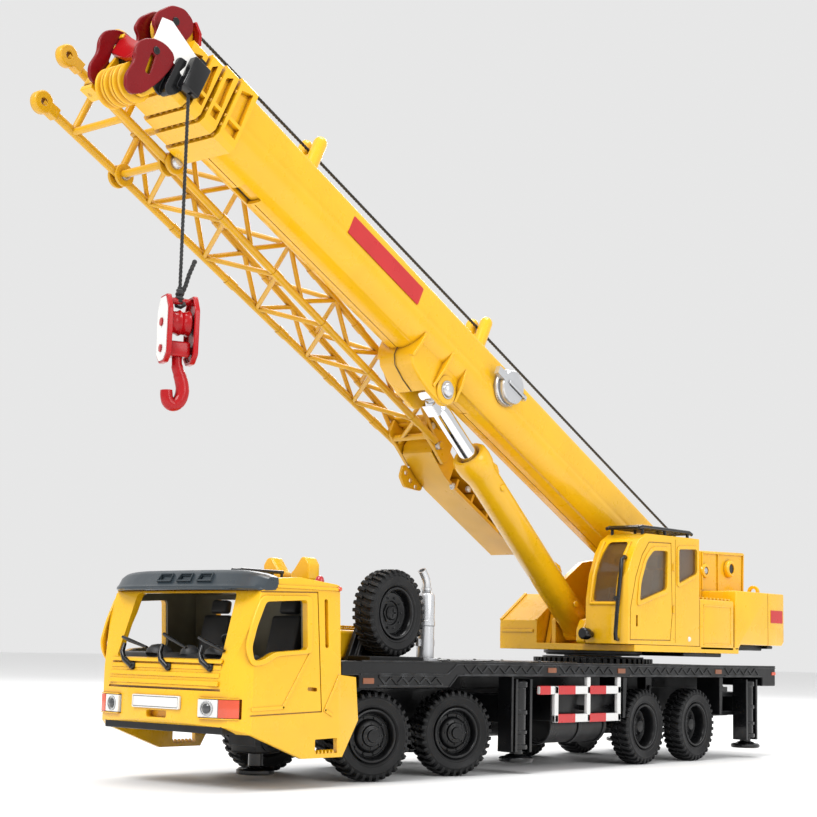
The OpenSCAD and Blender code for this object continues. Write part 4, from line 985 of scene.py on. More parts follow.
def add_side_guards():
    white, red = Shape(), Shape()
    for side in (1, -1):
        y0, y1 = outward(side, HALF_W - 1.2, HALF_W)
        r0, r1 = outward(side, HALF_W - 1.3, HALF_W + 0.12)
        for x in (-103.5, -119.5, -135.4):
            white.box((x, y0, 13.2), (x + 1.8, y1, 23.3 if x > -110 else 25.9))
        for z in (13.2, 21.0):
            white.box((-135.4, y0, z), (-101.7, y1, z + 2.3))
        white.box((-101.7, y0, 21.0), (-94.5, y1, 23.3))
        for x in (-107.5, -123.2):
            for z in (13.2, 21.0):
                red.box((x - 4.2, r0, z - 0.06), (x + 4.2, r1, z + 2.36))
        red.box((-99.5, r0, 20.94), (-94.6, r1, 23.36))
    white.done("side_guard_frames", WHITE, "carrier", 0.3, 3, replaces="side_guards")
    red.done("side_guard_bands", GUARD_RED, "carrier", 0.2, 3)
    arms = Shape()
    for side in (1, -1):
        for x in (-135.0, -119.1):
            arms.box((x, side * 23 - 1.1, 16.4), (x + 1.2, side * 23 + 1.1, 17.8))
    arms.done("side_guard_arms", BLACK, "carrier", 0.1)


BOX_X = {"front": -98.6, "rear": -219.6}
SLOTS = {"front_left": 1, "front_right": 0, "rear_left": 0, "rear_right": 1}


def add_outriggers():
    for corner, slot in SLOTS.items():
        end, hand = corner.split("_")
        side = SIDES[hand]
        x = BOX_X[end] + 1.1 + slot * 6.8 + 3.2
        arm = Shape()
        y0, y1 = outward(side, -12, 20)
        arm.box((x - 3.2, y0, 14.9), (x + 3.2, y1, 19.5))
        arm.lathe([(1.86, 0), (3.1, 0), (3.1, 1.2), (2.6, 1.3), (2.6, 4.0), (3.0, 4.1), (3.0, 5.0),
            (2.6, 5.1), (2.6, 9.2), (3.0, 9.3), (3.0, 10.4), (2.6, 10.5), (2.6, 16.4), (3.0, 16.6),
            (3.0, 18.0), (2.4, 18.5), (1.86, 18.5)], (x, side * 22.1, 6.4), sides=32, loop=True)
        for dx in (-3.3, 3.3):
            low, high = outward(side, 19.6, 24.7)
            arm.box((x + dx - 0.5, low, 5.6), (x + dx + 0.5, high, 25.2))
        for z in (7.2, 10.4, 13.6):
            low, high = outward(side, 19.7, 21.0)
            arm.box((x - 3.2, low, z), (x + 3.2, high, z + 0.8))
        low, high = outward(side, 19.4, 20.4)
        arm.box((x - 3.4, low, 5.6), (x + 3.4, high, 25.2))
        arm.done(f"outrigger_beam_{corner}", GLOSS_BLACK, f"outrigger_{corner}", 0.16, 2,
            replaces=f"beam_{corner}")
        leg = Shape()
        leg.lathe([(0.02, 0), (4.3, 0), (4.7, 0.35), (4.7, 1.0), (4.2, 1.4), (3.2, 1.5), (2.6, 1.9),
            (1.8, 2.1), (1.8, 21.2), (0.02, 21.2)], (x, side * 22.1, 3.0), sides=40)
        leg.done(f"outrigger_foot_{corner}", GLOSS_BLACK, f"foot_{corner}", 0.1, 2, replaces=f"jack_{corner}")
    ladder = Shape()
    inner = BOX_X["front"] + 15.6
    for side in (1, -1):
        low, high = outward(side, 19.9, 24.6)
        ladder.box((inner + 0.2, low, 5.8), (inner + 1.0, high, 25.9))
    low, high = outward(-1, 19.9, 24.6)
    for z in (7.5, 11, 14.5, 18):
        ladder.box((inner - 1.4, low, z), (inner + 0.4, high, z + 0.8))
    ladder.done("outrigger_side_plates", BLACK, "carrier", 0.15)
    centre = Shape().lathe([(0.02, 0), (4.2, 0), (4.7, 0.35), (4.7, 1.1), (4.0, 1.6), (2.4, 1.8),
        (1.8, 2.1), (1.8, 19), (0.02, 19)], (-10, 0, 1.4), sides=40)
    centre.done("centre_jack_foot", GLOSS_BLACK, "foot_centre", 0.1, replaces="jack_centre")
    sleeve = Shape().box((-14.5, -4.2, 6.6), (-5.5, 4.2, 13.6))
    bore = Shape().bar((-10, 0, 2), (-10, 0, 30), 1.86, 32)
    sleeve = solid(sleeve, 0.5, 3, cut=bore)
    for side in (1, -1):
        sleeve.lathe([(2.0, 0), (2.9, 0), (2.9, 0.5), (2.0, 0.5)], (-10, side * 4.2, 10), (0, side, 0), 24,
            loop=True)
        sleeve.box((-12.5, side * 4.5 - 0.4, 12.6), (-7.5, side * 4.5 + 0.4, 15.0))
    sleeve.done("centre_jack_housing", BLACK, "carrier", 0.12)


def add_slew_ring():
    ring = Shape().lathe([(9.2, 0), (16.9, 0), (16.9, 1.2), (15.8, 1.3), (15.8, 2.2), (9.2, 2.2)],
        (SLEW_X, 0, DECK_TOP), sides=96, loop=True)
    for i in range(56):
        t = 2 * pi * i / 56
        out = Vector((cos(t), sin(t), 0))
        centre = Vector((SLEW_X, 0, DECK_TOP + 0.85)) + out * 17.6
        ring.box(centre - Vector((1.0, 0.58, 0.85)), centre + Vector((1.0, 0.58, 0.85)),
            Matrix.Rotation(t, 3, "Z"))
    ring.done("slew_ring_gear", BLACK, "carrier", 0.14, 2, replaces="slew_ring")
    upper = Shape().lathe([(9.4, 0), (14.6, 0), (14.6, 0.5), (15.4, 0.6), (15.4, 1.5), (9.4, 1.5)],
        (SLEW_X, 0, 31.85), sides=96, loop=True)
    for i in range(24):
        t = 2 * pi * i / 24
        hexagon(upper, (SLEW_X + 14.9 * cos(t), 14.9 * sin(t), 32.9), (0, 0, -1), 0.5, 0.5)
    upper.done("slew_ring_upper_race", BLACK, "turntable", 0.12, 2)


# ---------------------------------------------------------------- superstructure

CRANE_SIDE = [(-137.0, 35.5), (-137.0, 48.4), (-138.6, 56.0), (-141.6, 62.6), (-144.8, 66.6),
    (-149.0, 68.9), (-176.5, 69.2), (-180.7, 69.2), (-180.7, 35.5)]
CRANE_DOOR = [(-150.6, 66.4), (-163.4, 66.8), (-164.2, 45.0), (-163.0, 37.0), (-140.2, 36.8), (-140.3, 46),
    (-143.2, 55.6), (-146.6, 62.2)]
CRANE_WINDOW = [(-153.0, 63.9), (-161.2, 64.3), (-160.8, 52.6), (-145.2, 48.4), (-146.0, 54.0),
    (-149.2, 60.8)]
REAR_WINDOW = [(-168.0, 65.2), (-179.0, 65.8), (-179.0, 58.2), (-168.0, 54.6)]


def add_crane_cab():
    body = Shape().prism(CRANE_SIDE, 11.2, HALF_W)
    plan = Shape().slab([(-134.6, 11.0), (-134.6, 12.0), (-137.2, 20.5), (-139.2, 25.2), (-185, 25.2),
        (-185, 11.0)], 30, 75)
    room = Shape().prism([(-138.8, 37), (-138.8, 48.8), (-140.2, 55.6), (-143.0, 61.8), (-146, 65.4),
        (-149.6, 67.4), (-176.5, 67.7), (-179.3, 67.6), (-179.3, 37)], 12.6, HALF_W - 1.3)
    glass_hole = rounded([(13.6, 48.0), (21.6, 48.0), (21.6, 66.2), (14.8, 66.2), (13.6, 60)], 1.2)
    wall(room, glass_hole, -146.5, -130)
    room.prism(rounded(CRANE_WINDOW, 1.2), 20, 30)
    room.prism(rounded(REAR_WINDOW, 1.0), 20, 30)
    side_line(room, CRANE_DOOR, 0.3, HALF_W - 0.35, HALF_W + 2, closed=True)
    side_line(room, [(-166.0, 36.4), (-166.0, 68)], 0.24, HALF_W - 0.25, HALF_W + 2)
    room.prism(rounded([(-143.4, 44.2), (-144.4, 44.2), (-144.4, 40.8), (-143.4, 40.8)], 0.3), HALF_W - 0.9,
        HALF_W + 2)
    shell = solid(body, soften=1.5, steps=6, keep=plan, cut=room)
    shell.done("crane_cab_shell", YELLOW, "turntable", 0.12, 2, replaces="crane_cab", smooth=50)
    frames = Shape()
    for outline, grow in ((CRANE_WINDOW, 1.3), (REAR_WINDOW, 1.1)):
        frames.prism(rounded(grown(outline, grow), 1.8), HALF_W - 0.3, HALF_W + 0.35)
    holes = Shape().prism(rounded(CRANE_WINDOW, 1.2), 20, 30).prism(rounded(REAR_WINDOW, 1.0), 20, 30)
    frames.done("crane_window_frames", YELLOW, "turntable", 0.25, 3, cut=holes, smooth=50)
    front = Shape()
    line = [(-136.9, 47.4), (-137.2, 50), (-138.5, 55.8), (-141.4, 62.2), (-144.2, 66.2)]
    for y in (12.9, 22.3):
        front.tube([(x - 0.1, y, z) for x, z in line], 0.5, 10)
    front.tube([(-136.9, 12.9, 47.4), (-136.9, 22.3, 47.4)], 0.5, 10)
    front.done("crane_windscreen_rim", YELLOW, "turntable", 0)
    panes = Shape()
    sheet = [(x - 0.9, z) for x, z in [(-137.0, 47.6), (-137.3, 50.4), (-138.6, 56.0), (-141.5, 62.4),
        (-144.4, 66.4)]]
    back = [(x - 0.6, z - 0.1) for x, z in sheet[::-1]]
    panes.prism(sheet + back, 13.2, 22.0)
    panes.prism(grown(CRANE_WINDOW, 0.3), HALF_W - 1.2, HALF_W - 0.6)
    panes.prism(grown(REAR_WINDOW, 0.3), HALF_W - 1.2, HALF_W - 0.6)
    panes.done("crane_cab_panes", GLASS, "turntable", 0.08, replaces="crane_cab_glass")
    seat = Shape()
    seat.box((-163, 14, 37), (-151, 22.5, 43.5))
    seat.prism([(-162, 43), (-165.5, 58), (-162.5, 59), (-158, 43.5)], 14.4, 22.0)
    seat.prism([(-164.9, 59), (-165.6, 63), (-163.2, 63.4), (-162.6, 59.2)], 16, 20.6)
    solid(seat, 0.8, 3).done("crane_seat", INTERIOR, "turntable", 0.1)
    console = Shape().prism([(-140.5, 37), (-140.5, 47.0), (-144, 48.2), (-146.5, 45), (-147, 37)], 13.4,
        22.6)
    solid(console, 0.5, 3).done("crane_console", INTERIOR, "turntable", 0.1)
    levers = Shape()
    for y in (15, 18, 21):
        levers.tube([(-145, y, 46), (-147.5, y, 51)], 0.35, 8).ball((-147.6, y, 51.3), 0.8)
    levers.done("crane_levers", GLOSS_BLACK, "turntable", 0)
    rail = Shape()
    rail.tube([(-142.6, 22.6, 60.8), (-140.0, 22.9, 61.4), (-138.6, 23.0, 60.6), (-138.0, 23.0, 57.0),
        (-135.9, 23.0, 44.0), (-135.3, 23.0, 38.4), (-135.6, 22.9, 37.0), (-137.4, 22.4, 36.8)], 0.62, 12)
    rail.lathe([(0.02, 0), (0.8, 0), (0.8, 0.7), (0.02, 0.8)], (-136.2, 22.4, 48.8), (-1, 0, 0.1), 16)
    rail.done("crane_cab_grab_rail", GLOSS_BLACK, "turntable", 0)
    knob = Shape().lathe([(0.02, -1), (1.0, -1), (1.0, 0.9), (1.75, 1.1), (1.75, 3.4), (1.4, 3.9),
        (0.02, 4.0)], (-135.6, 13.6, 38.2), (1, 0, 0.05), 28)
    knob.done("crane_cab_front_lamp", GLOSS_BLACK, "turntable", 0.12)
    stud = Shape().lathe([(0.02, 0), (0.85, 0), (0.7, 0.35), (0.02, 0.5)], (-174.4, 24.9, 37.6), (0, 1, 0),
        20)
    stud.done("crane_cab_rivet", PLATE, "turntable", 0.04)
    hinge = Shape()
    for z in (46.5, 59.5):
        hinge.bar((-164.9, 25.0, z - 1.1), (-164.9, 25.0, z + 1.1), 0.5, 12)
    hinge.done("crane_door_hinges", YELLOW, "turntable", 0.06)
    guard = Shape()
    for y in (12.4, 24.0):
        guard.tube([(-146.5, y, 70.5), (-148, y, 71.0), (-176.0, y, 71.0), (-177.6, y, 70.4)], 0.55, 10)
    for i in range(9):
        x = -148.2 - i * 3.45
        guard.tube([(x, 12.2, 71.0), (x, 24.2, 71.0)], 0.5, 10)
    for i in range(8):
        x = -149.9 - i * 3.45
        guard.box((x - 0.5, 12.4, 70.4), (x + 0.5, 24.0, 70.9))
    for x in (-149, -162, -175.6):
        for y in (12.8, 23.6):
            guard.bar((x, y, 68.4), (x, y, 71.0), 0.5, 10)
    for x in (-147.0, -177.2):
        guard.tube([(x, 12.4, 70.6), (x, 24.0, 70.6)], 0.45, 10)
    guard.done("crane_roof_guard", GLOSS_BLACK, "turntable", 0)


def add_superstructure():
    base = Shape().node("turntable_frame")
    base.done("turntable_base", YELLOW, "turntable", 0.4, 3, replaces="turntable_frame")
    block = Shape()
    block.box((-144.6, -24.2, 38.6), (-142.2, -12.0, 39.6)).box((-146.6, -25.3, 35.6), (-143.0, -24.9, 41.5))
    block.prism([(-143.4, 41.6), (-156.0, 50.2), (-156.0, 51.5), (-142.6, 42.7)], -25.3, -24.2)
    block.prism([(-143.4, 41.6), (-156.0, 50.2), (-156.0, 51.5), (-142.6, 42.7)], -11.6, -10.6)
    for z in (45, 48):
        block.box((-158.9, -23, z), (-158.2, -13, z + 0.8))
    block.done("front_box_ribs", YELLOW, "turntable", 0.3, 3)
    bumpers = Shape()
    for side in (1, -1):
        for x, z in ((-190, 60), (-180, 58), (-165, 54), (-160, 42)):
            hexagon(bumpers, (x, side * 10.5, z), (0, side, 0), 0.9, 0.7)
    bumpers.lathe([(0.02, 0), (2.4, 0), (2.4, 1.2), (1.2, 1.4), (0.02, 1.5)], (-194, 11.0, 58.4), (0, 1, 0),
        32)
    bumpers.lathe([(0.02, 0), (2.4, 0), (2.4, 1.2), (1.2, 1.4), (0.02, 1.5)], (-194, -11.0, 58.4),
        (0, -1, 0), 32)
    bumpers.done("foot_plate_bolts", SILVER, "turntable", 0.1)
    cleat = solid(Shape().prism([(-137.4, 35.4), (-137.4, 39.4), (-139, 42.6), (-143.6, 43.4), (-145, 42),
        (-145, 35.4)], 7.2, 10.6), 0.9, 4)
    cleat.done("cylinder_foot_guard", YELLOW, "turntable", 0.1)
    boxes = Shape()
    for side in (1, -1):
        low, high = outward(side, 11.4, HALF_W)
        boxes.box((-202.9, low, 34.0), (-181.2, high, 50.4))
    solid(boxes, 0.6, 4).done("machine_boxes", YELLOW, "turntable", 0.12, replaces="machine_housing")
    ribs = Shape()
    for side in (1, -1):
        low, high = outward(side, 12.4, HALF_W - 0.6)
        for i in range(8):
            ribs.box((-201.6 + i * 2.4, low, 50.3), (-200.4 + i * 2.4, high, 51.0))
        y0, y1 = outward(side, HALF_W - 0.2, HALF_W + 0.2)
        side_line(ribs, [(-183.4, 36.2), (-183.4, 48.4), (-200.8, 48.4), (-200.8, 36.2)], 0.5, y0, y1,
            closed=True)
    ribs.done("machine_box_louvres", YELLOW, "turntable", 0.22, 3)
    weight = Shape().prism([(-203.4, 34.4), (-204.4, 53.9), (-237.6, 53.9), (-237.6, 37.6), (-236, 36.4),
        (-207.5, 36.4), (-205.6, 34.4)], -HALF_W, HALF_W)
    grooves = Shape()
    for side in (1, -1):
        y0, y1 = outward(side, HALF_W - 0.3, HALF_W + 2)
        side_line(grooves, [(-226.1, 30), (-226.1, 60)], 0.28, y0, y1)
    wall(grooves, [(-0.2, 30), (0.2, 30), (0.2, 60), (-0.2, 60)], -240, -237.2)
    solid(weight, 0.45, 3, cut=grooves).done("counterweight_block", YELLOW, "turntable", 0.1,
        replaces="counterweight")
    label = Shape()
    for side in (1, -1):
        low, high = outward(side, 24.95, 25.14)
        label.box((-236.4, low, 44.0), (-228.0, high, 48.2))
    label.done("counterweight_blank_label", GUARD_RED, "turntable", 0.05)
    lugs = Shape()
    for y in (-17, 17):
        lugs.lathe([(1.1, -0.6), (2.1, -0.6), (2.1, 0.6), (1.1, 0.6)], (-231, y, 54.6), (1, 0, 0), 24,
            loop=True)
    for y in (-18, -6, 6, 18):
        hexagon(lugs, (-237.5, y, 40.5), (-1, 0, 0), 1.2, 0.7)
        hexagon(lugs, (-237.5, y, 50), (-1, 0, 0), 1.2, 0.7)
    lugs.done("counterweight_lugs", YELLOW, "turntable", 0.15)
    under = Shape().box((-233, -19, 34.6), (-208, 19, 36.4)).box((-200, -15, 32.2),
        (-176, 22, 33.5)).box((-237.0, -21, 35.3), (-233, 21, 36.4))
    under.done("counterweight_underside", BLACK, "turntable", 0.4, 3)
    add_winch()


# The winch drum's axis, and the guide shaft's in front of it
DRUM_X, DRUM_Z = -222, 62
GUIDE_X, GUIDE_Z = -205.9, 60.6


def add_winch():
    sides = Shape()
    for side in (1, -1):
        low, high = outward(side, 10.4, 12.2)
        sides.prism([(-203.6, 51), (-203.6, 67.2), (-233, 68), (-232.4, 53.6), (-210, 53.6)], low, high)
    holes = Shape().bar((DRUM_X, -20, DRUM_Z), (DRUM_X, 20, DRUM_Z), 1.6, 32)
    holes.bar((GUIDE_X, -20, GUIDE_Z), (GUIDE_X, 20, GUIDE_Z), 1.3, 24)
    sides.done("winch_side_plates", YELLOW, "turntable", 0.3, 3, cut=holes)
    rest = Shape().prism([(-230.8, 53.6), (-231.0, 67.2), (-232.6, 67.2), (-232.2, 53.6)], -10.6, 10.6)
    for side in (1, -1):
        low, high = outward(side, 12.1, 12.7)
        side_line(rest, [(-204.4, 54.6), (-204.4, 66.6), (-232.2, 67.3), (-231.8, 54.6)], 0.7, low, high)
        rest.box((-215.2, low, 54), (-214.5, high, 66.8))
        rest.lathe([(1.65, 0), (3.0, 0), (2.8, 1.3), (2.3, 1.7), (1.65, 1.7)],
            (DRUM_X, side * 12.1, DRUM_Z), (0, side, 0), 32, loop=True)
        rest.lathe([(1.3, 0), (2.5, 0), (2.3, 1.0), (1.3, 1.2)], (GUIDE_X, side * 12.1, GUIDE_Z),
            (0, side, 0), 28, loop=True)
    rest.done("winch_housing_ribs", YELLOW, "turntable", 0.22, 3)
    ends = Shape()
    for side in (1, -1):
        ends.lathe([(0.02, -0.6), (1.25, -0.6), (1.25, 0.7), (0.9, 1.0), (0.02, 1.05)],
            (GUIDE_X, side * 12.1, GUIDE_Z), (0, side, 0), 24)
    ends.done("guide_shaft_ends", SILVER, "turntable", 0.05)
    drum = Shape()
    drum.lathe([(0.02, -13.4), (1.5, -13.4), (1.5, -10.0), (5.3, -9.9), (5.3, -9.0), (3.3, -8.9),
        (3.3, 8.9), (5.3, 9.0), (5.3, 9.9), (1.5, 10.0), (1.5, 13.4), (0.02, 13.4)], (DRUM_X, 0, DRUM_Z),
        (0, 1, 0), 48)
    for side in (1, -1):
        for i in range(8):
            t = 2 * pi * i / 8
            hexagon(drum, (DRUM_X + 4.3 * cos(t), side * 9.85, DRUM_Z + 4.3 * sin(t)), (0, side, 0), 0.4, 0.3)
    drum.done("winch_drum_detailed", WINCH, "winch", 0.12, 2, replaces="winch_drum")
    coil = Shape()
    steps, turns = 14, 17
    coil.tube([(DRUM_X + 3.78 * cos(2 * pi * i / steps), -8.2 + 16.4 * i / (steps * turns),
        DRUM_Z + 3.78 * sin(2 * pi * i / steps)) for i in range(steps * turns + 1)], 0.47, 8)
    coil.done("rope_on_drum", ROPE, "winch", 0)


# ---------------------------------------------------------------- luffing cylinder

LUFF_LENGTH = LUFF_LINE.length


def add_cylinder():
    barrel = Shape(CYLINDER)
    barrel.lathe([(0.02, 2), (4.3, 2.1), (4.6, 2.6), (4.6, 67.6), (4.9, 69.0), (5.35, 70.8), (5.5, 73.2),
        (5.3, 75.2), (4.6, 76.1), (3.7, 76.1), (3.2, 75.3), (2.75, 75.0), (2.66, 74), (2.66, 8), (0.02, 8)],
        sides=56)
    barrel.lathe([(1.3, -4), (3.6, -4), (3.6, 4), (1.3, 4)], (0, 0, 0), (0, 1, 0), 40, loop=True)
    for z in (22, 65):
        barrel.tube([(-4.2, 0, z - 3), (-5.2, 0, z - 1.6), (-5.6, 0, z), (-5.2, 0, z + 1.6),
            (-4.2, 0, z + 3)], [0.8, 1.3, 1.5, 1.3, 0.8], 16)
    for z in (62, 12):
        barrel.lathe([(0.02, 0), (1.1, 0), (0.9, 0.5), (0.02, 0.6)], (0, 4.5, z), (0, 1, 0), 20)
    barrel.done("luff_cylinder_barrel", YELLOW, "cylinder_barrel", 0.12, 3, replaces="luff_barrel", smooth=50)
    rod = Shape(CYLINDER)
    top = LUFF_LENGTH
    rod.lathe([(0.02, 30), (2.6, 30), (2.6, top - 7.5), (2.35, top - 7.0), (2.35, top - 5.6),
        (2.0, top - 5.2), (2.0, top - 2), (0.02, top - 2)], sides=56)
    rod.lathe([(1.4, -2), (2.45, -2), (2.45, 2), (1.4, 2)], (0, 0, top), (0, 1, 0), 40, loop=True)
    rod.box((0.9, -1.9, top - 6.4), (3.6, 1.9, top - 2.2))
    rod.done("luff_cylinder_rod", CHROME, "cylinder_rod", 0.15, 3, replaces="luff_rod", smooth=50)


# ---------------------------------------------------------------- boom

def section_outline(r, top, edge=1.0):
    """Half-round belly, flat sides and a flat top with rounded edges, in Y and N."""
    belly = arc((0, -0.7), r, 180, 360, 28)
    crown = rounded([(r, 0), (r, top), (-r, top), (-r, 0)], edge, 5)
    return belly + [p for p in crown if p[1] > 0.5]


def collar_pieces(body, cut, u0, u1, half, low, high):
    """Square frame round a section's mouth: chamfered corners, and side pockets that leave gussets."""
    outline = [(-half, low + 1.2), (-half + 1.2, low), (half - 1.2, low), (half, low + 1.2),
        (half, high - 0.8), (half - 0.8, high), (-half + 0.8, high), (-half, high - 0.8)]
    wall(body, outline, u0, u1)
    rim = min(1.0, (u1 - u0) * 0.24)
    split = low + 0.36 * (high - low)
    for side in (1, -1):
        y0, y1 = outward(side, half - 1.5, half + 2)
        cut.prism([(u0 + rim, split + 0.5), (u1 - rim, split + 0.5), (u1 - rim, high - 3.4),
            (u0 + rim + 0.5, high - 2.0)], y0, y1)
        cut.prism([(u0 + rim, low + 3.2), (u1 - rim, low + 3.2), (u1 - rim, split - 0.5),
            (u0 + rim, split - 0.5)], y0, y1)


def collar_studs(shape, u, half, low, high):
    """Bolt heads along the lower edge and the sides of a collar's front face."""
    count = int(half * 2 / 2.3)
    for i in range(count):
        y = (i - (count - 1) / 2) * 2.1
        shape.lathe([(0.02, -0.1), (0.62, -0.1), (0.55, 0.35), (0.02, 0.45)], (u, y, low + 1.3), (1, 0, 0),
            12)
    for side in (1, -1):
        for n in (low + 4.2, low + 7.0, high - 4.5):
            shape.lathe([(0.02, -0.1), (0.6, -0.1), (0.5, 0.3), (0.02, 0.4)], (u, side * (half - 0.85), n),
                (1, 0, 0), 12)


def add_boom_base():
    body, cut = Shape(BOOM), Shape(BOOM)
    wall(body, section_outline(8, 8.7, 1.6), 0, 234)
    body.lathe([(0.02, -7.8), (8.7, -7.8), (8.7, 7.8), (0.02, 7.8)], (0, 0, 0), (0, 1, 0), 64)
    collar_pieces(body, cut, 228, 234, 9.5, -9.5, 9.6)
    wall(cut, section_outline(6.95, 7.65, 0.6), 24, 240)
    cut.bar((0, -20, 0), (0, 20, 0), 2.26, 40)
    cut.box((209.5, -2.6, -12), (216, 2.6, -6))
    cut.box((20, -0.14, -9.5), (209, 0.14, -8.4))
    cut.box((216.4, -0.14, -9.8), (227.8, 0.14, -8.4))
    cut.box((112, -4.4, -30), (146, 4.4, -8.5))
    cut.box((123.5, -2.4, -9), (132.5, 2.4, -8.05))
    body.done("boom_base_shell", YELLOW, "boom", 0.22, 3, cut=cut, replaces="boom_base", smooth=44)
    studs = Shape(BOOM)
    collar_studs(studs, 234, 9.5, -9.5, 9.6)
    studs.done("boom_base_studs", YELLOW, "boom", 0.06)
    lining = Shape(BOOM)
    wall(lining, [(-2.9, -7.1), (2.9, -7.1), (2.9, -6.9), (-2.9, -6.9)], 209, 216.5)
    lining.done("belly_hole_shadow", INTERIOR, "boom", 0)
    add_luff_bracket()
    add_boom_fittings()


def add_luff_bracket():
    """Housing under the boom that holds the cylinder's upper pin: closed in front, open behind."""
    u, n = UPPER_PIN
    boss = arc((u, n), 4.5, 180, 285, 8)
    outline = [(122.0, -5.0), (122.6, -9.4)] + boss + [(134.0, -16.0), (139.2, -15.0), (143.9, -13.2),
        (145.4, -11.0), (145.0, -5.0)]
    cut = Shape(BOOM).box((100, -4.5, -30), (134.4, 4.5, -5))
    cut.prism([(100, -9), (140, -9), (143.4, -10.8), (142.6, -12.0), (138.6, -13.6), (130, -15),
        (100, -15)], -4.5, 4.5)
    housing = solid(Shape(BOOM).prism(outline, -6.1, 6.1), 0.8, 4, cut=cut)
    housing.done("luff_bracket", YELLOW, "boom", 0.2, 3, smooth=50)
    fins = Shape(BOOM)
    for side in (1, -1):
        for top, foot, reach in (((144.2, -3.6), (144.9, -11.4), 7.9), ((132.0, -1.6), (133.4, -14.0), 8.1),
                ((124.6, -2.8), (123.4, -12.6), 8.0)):
            rings = []
            for (x, z), y in ((top, reach), (((top[0] + foot[0]) / 2, (top[1] + foot[1]) / 2), reach - 0.2),
                    (foot, 6.5)):
                rings.append([Vector((x - 0.55, side * 5.0, z)), Vector((x + 0.55, side * 5.0, z)),
                    Vector((x + 0.45, side * y, z)), Vector((x - 0.45, side * y, z))])
            fins.skin(rings)
        fins.lathe([(0.02, -0.6), (4.2, -0.6), (4.2, 0.35), (3.9, 0.6), (0.02, 0.6)], (u, side * 6.1, n),
            (0, side, 0), 40)
        name = HAND[side]
        pin = Shape(BOOM)
        pin.lathe([(0.02, -1.2), (2.2, -1.2), (2.2, 0.6), (1.75, 1.25), (0.9, 1.6), (0.02, 1.7)],
            (u, side * 6.5, n), (0, side, 0), 32)
        pin.lathe([(2.2, -0.2), (2.7, -0.2), (2.6, 0.5), (2.2, 0.55)], (u, side * 6.5, n), (0, side, 0), 32,
            loop=True)
        pin.done(f"luff_pin_head_{name}", SILVER, "boom", 0.06)
    fins.done("luff_bracket_fins", YELLOW, "boom", 0.22, 3, smooth=50)
    seam = Shape(BOOM)
    path = [(145.5, 0, -7.4), (145.7, 0, -11.0), (144.1, 0, -13.4), (139.3, 0, -15.15), (134.6, 0, -16.0)]
    seam.tube(path, 0.12, 6)
    seam.done("luff_bracket_seam", INTERIOR, "boom", 0)


def add_boom_fittings():
    guides = Shape(BOOM)
    for u in (118, 199.6):
        for side in (1, -1):
            guides.lathe([(0.02, -0.6), (1.9, -0.6), (1.9, 10.2), (1.75, 11.0), (1.3, 11.7), (0.7, 12.05),
                (0.02, 12.15)], (u, side * 2.55, 8.7), sides=32)
            guides.prism([(u - 3.6, 8.5), (u + 2.9, 8.5), (u + 1.4, 10.4), (u - 1.4, 10.4)],
                *outward(side, 1.2, 3.9))
        guides.box((u - 1.4, -2.4, 8.4), (u + 1.4, 2.4, 14.6))
    guides.done("rope_guide_pegs", YELLOW, "boom", 0.22, 3, replaces="rope_guides", smooth=50)
    cap = Shape(BOOM)
    centre = (107.2, 7.6, 2.7)
    cap.lathe([(0.02, 0), (5.2, 0), (5.45, 0.5), (5.45, 1.3), (5.1, 1.7), (4.75, 1.7), (4.75, 2.1),
        (5.0, 2.4), (5.0, 3.3), (4.7, 3.7), (0.02, 3.7)], centre, (0, 1, 0), 64)
    cap.box((111.2, 9.8, 2.2), (115.6, 11.3, 4.6))
    cap.box((100.8, 10.0, 2.2), (102.8, 11.5, 3.6))
    slot_cut = Shape(BOOM).box((101.8, 10.9, 2.1), (109.4, 12, 3.5))
    cap.done("boom_side_cap", SILVER, "boom", 0.16, 3, cut=slot_cut, smooth=50)
    bar = Shape(BOOM).box((101.0, 10.6, 2.4), (110.2, 11.8, 3.2))
    bar.done("boom_side_cap_bar", SILVER, "boom", 0.15, 3)
    label = Shape(BOOM)
    label.prism(rounded([(151.4, 0.6), (184.0, 0.6), (184.0, 6.1), (151.4, 6.1)], 0.5), 7.9, 8.07)
    label.done("boom_blank_label", GUARD_RED, "boom", 0.03)


# Each section's start, end, radius, top, inner radius and inner top, then its collar's start,
# half width, low and high
SECTIONS = {
    2: (70, 239.2, 6.7, 7.4, 5.75, 6.35, 234.9, 9.0, -9.1, 9.2),
    3: (76, 243.7, 5.5, 6.1, 4.55, 5.05, 240.1, 8.4, -8.7, 8.8),
}


def add_boom_sections():
    for number, (u0, u1, r, top, inner_r, inner_top, collar_u, half, low, high) in SECTIONS.items():
        body, cut = Shape(BOOM), Shape(BOOM)
        wall(body, section_outline(r, top), u0, u1)
        collar_pieces(body, cut, collar_u, u1, half, low, high)
        wall(cut, section_outline(inner_r, inner_top, 0.5), u0 - 1, u1 + 1)
        body.done(f"boom_section_{number}_shell", YELLOW, f"section_{number}", 0.2, 3, cut=cut,
            replaces=f"boom_section_{number}", smooth=44)
        studs = Shape(BOOM)
        collar_studs(studs, u1, half, low, high)
        studs.done(f"boom_section_{number}_studs", YELLOW, f"section_{number}", 0.06)


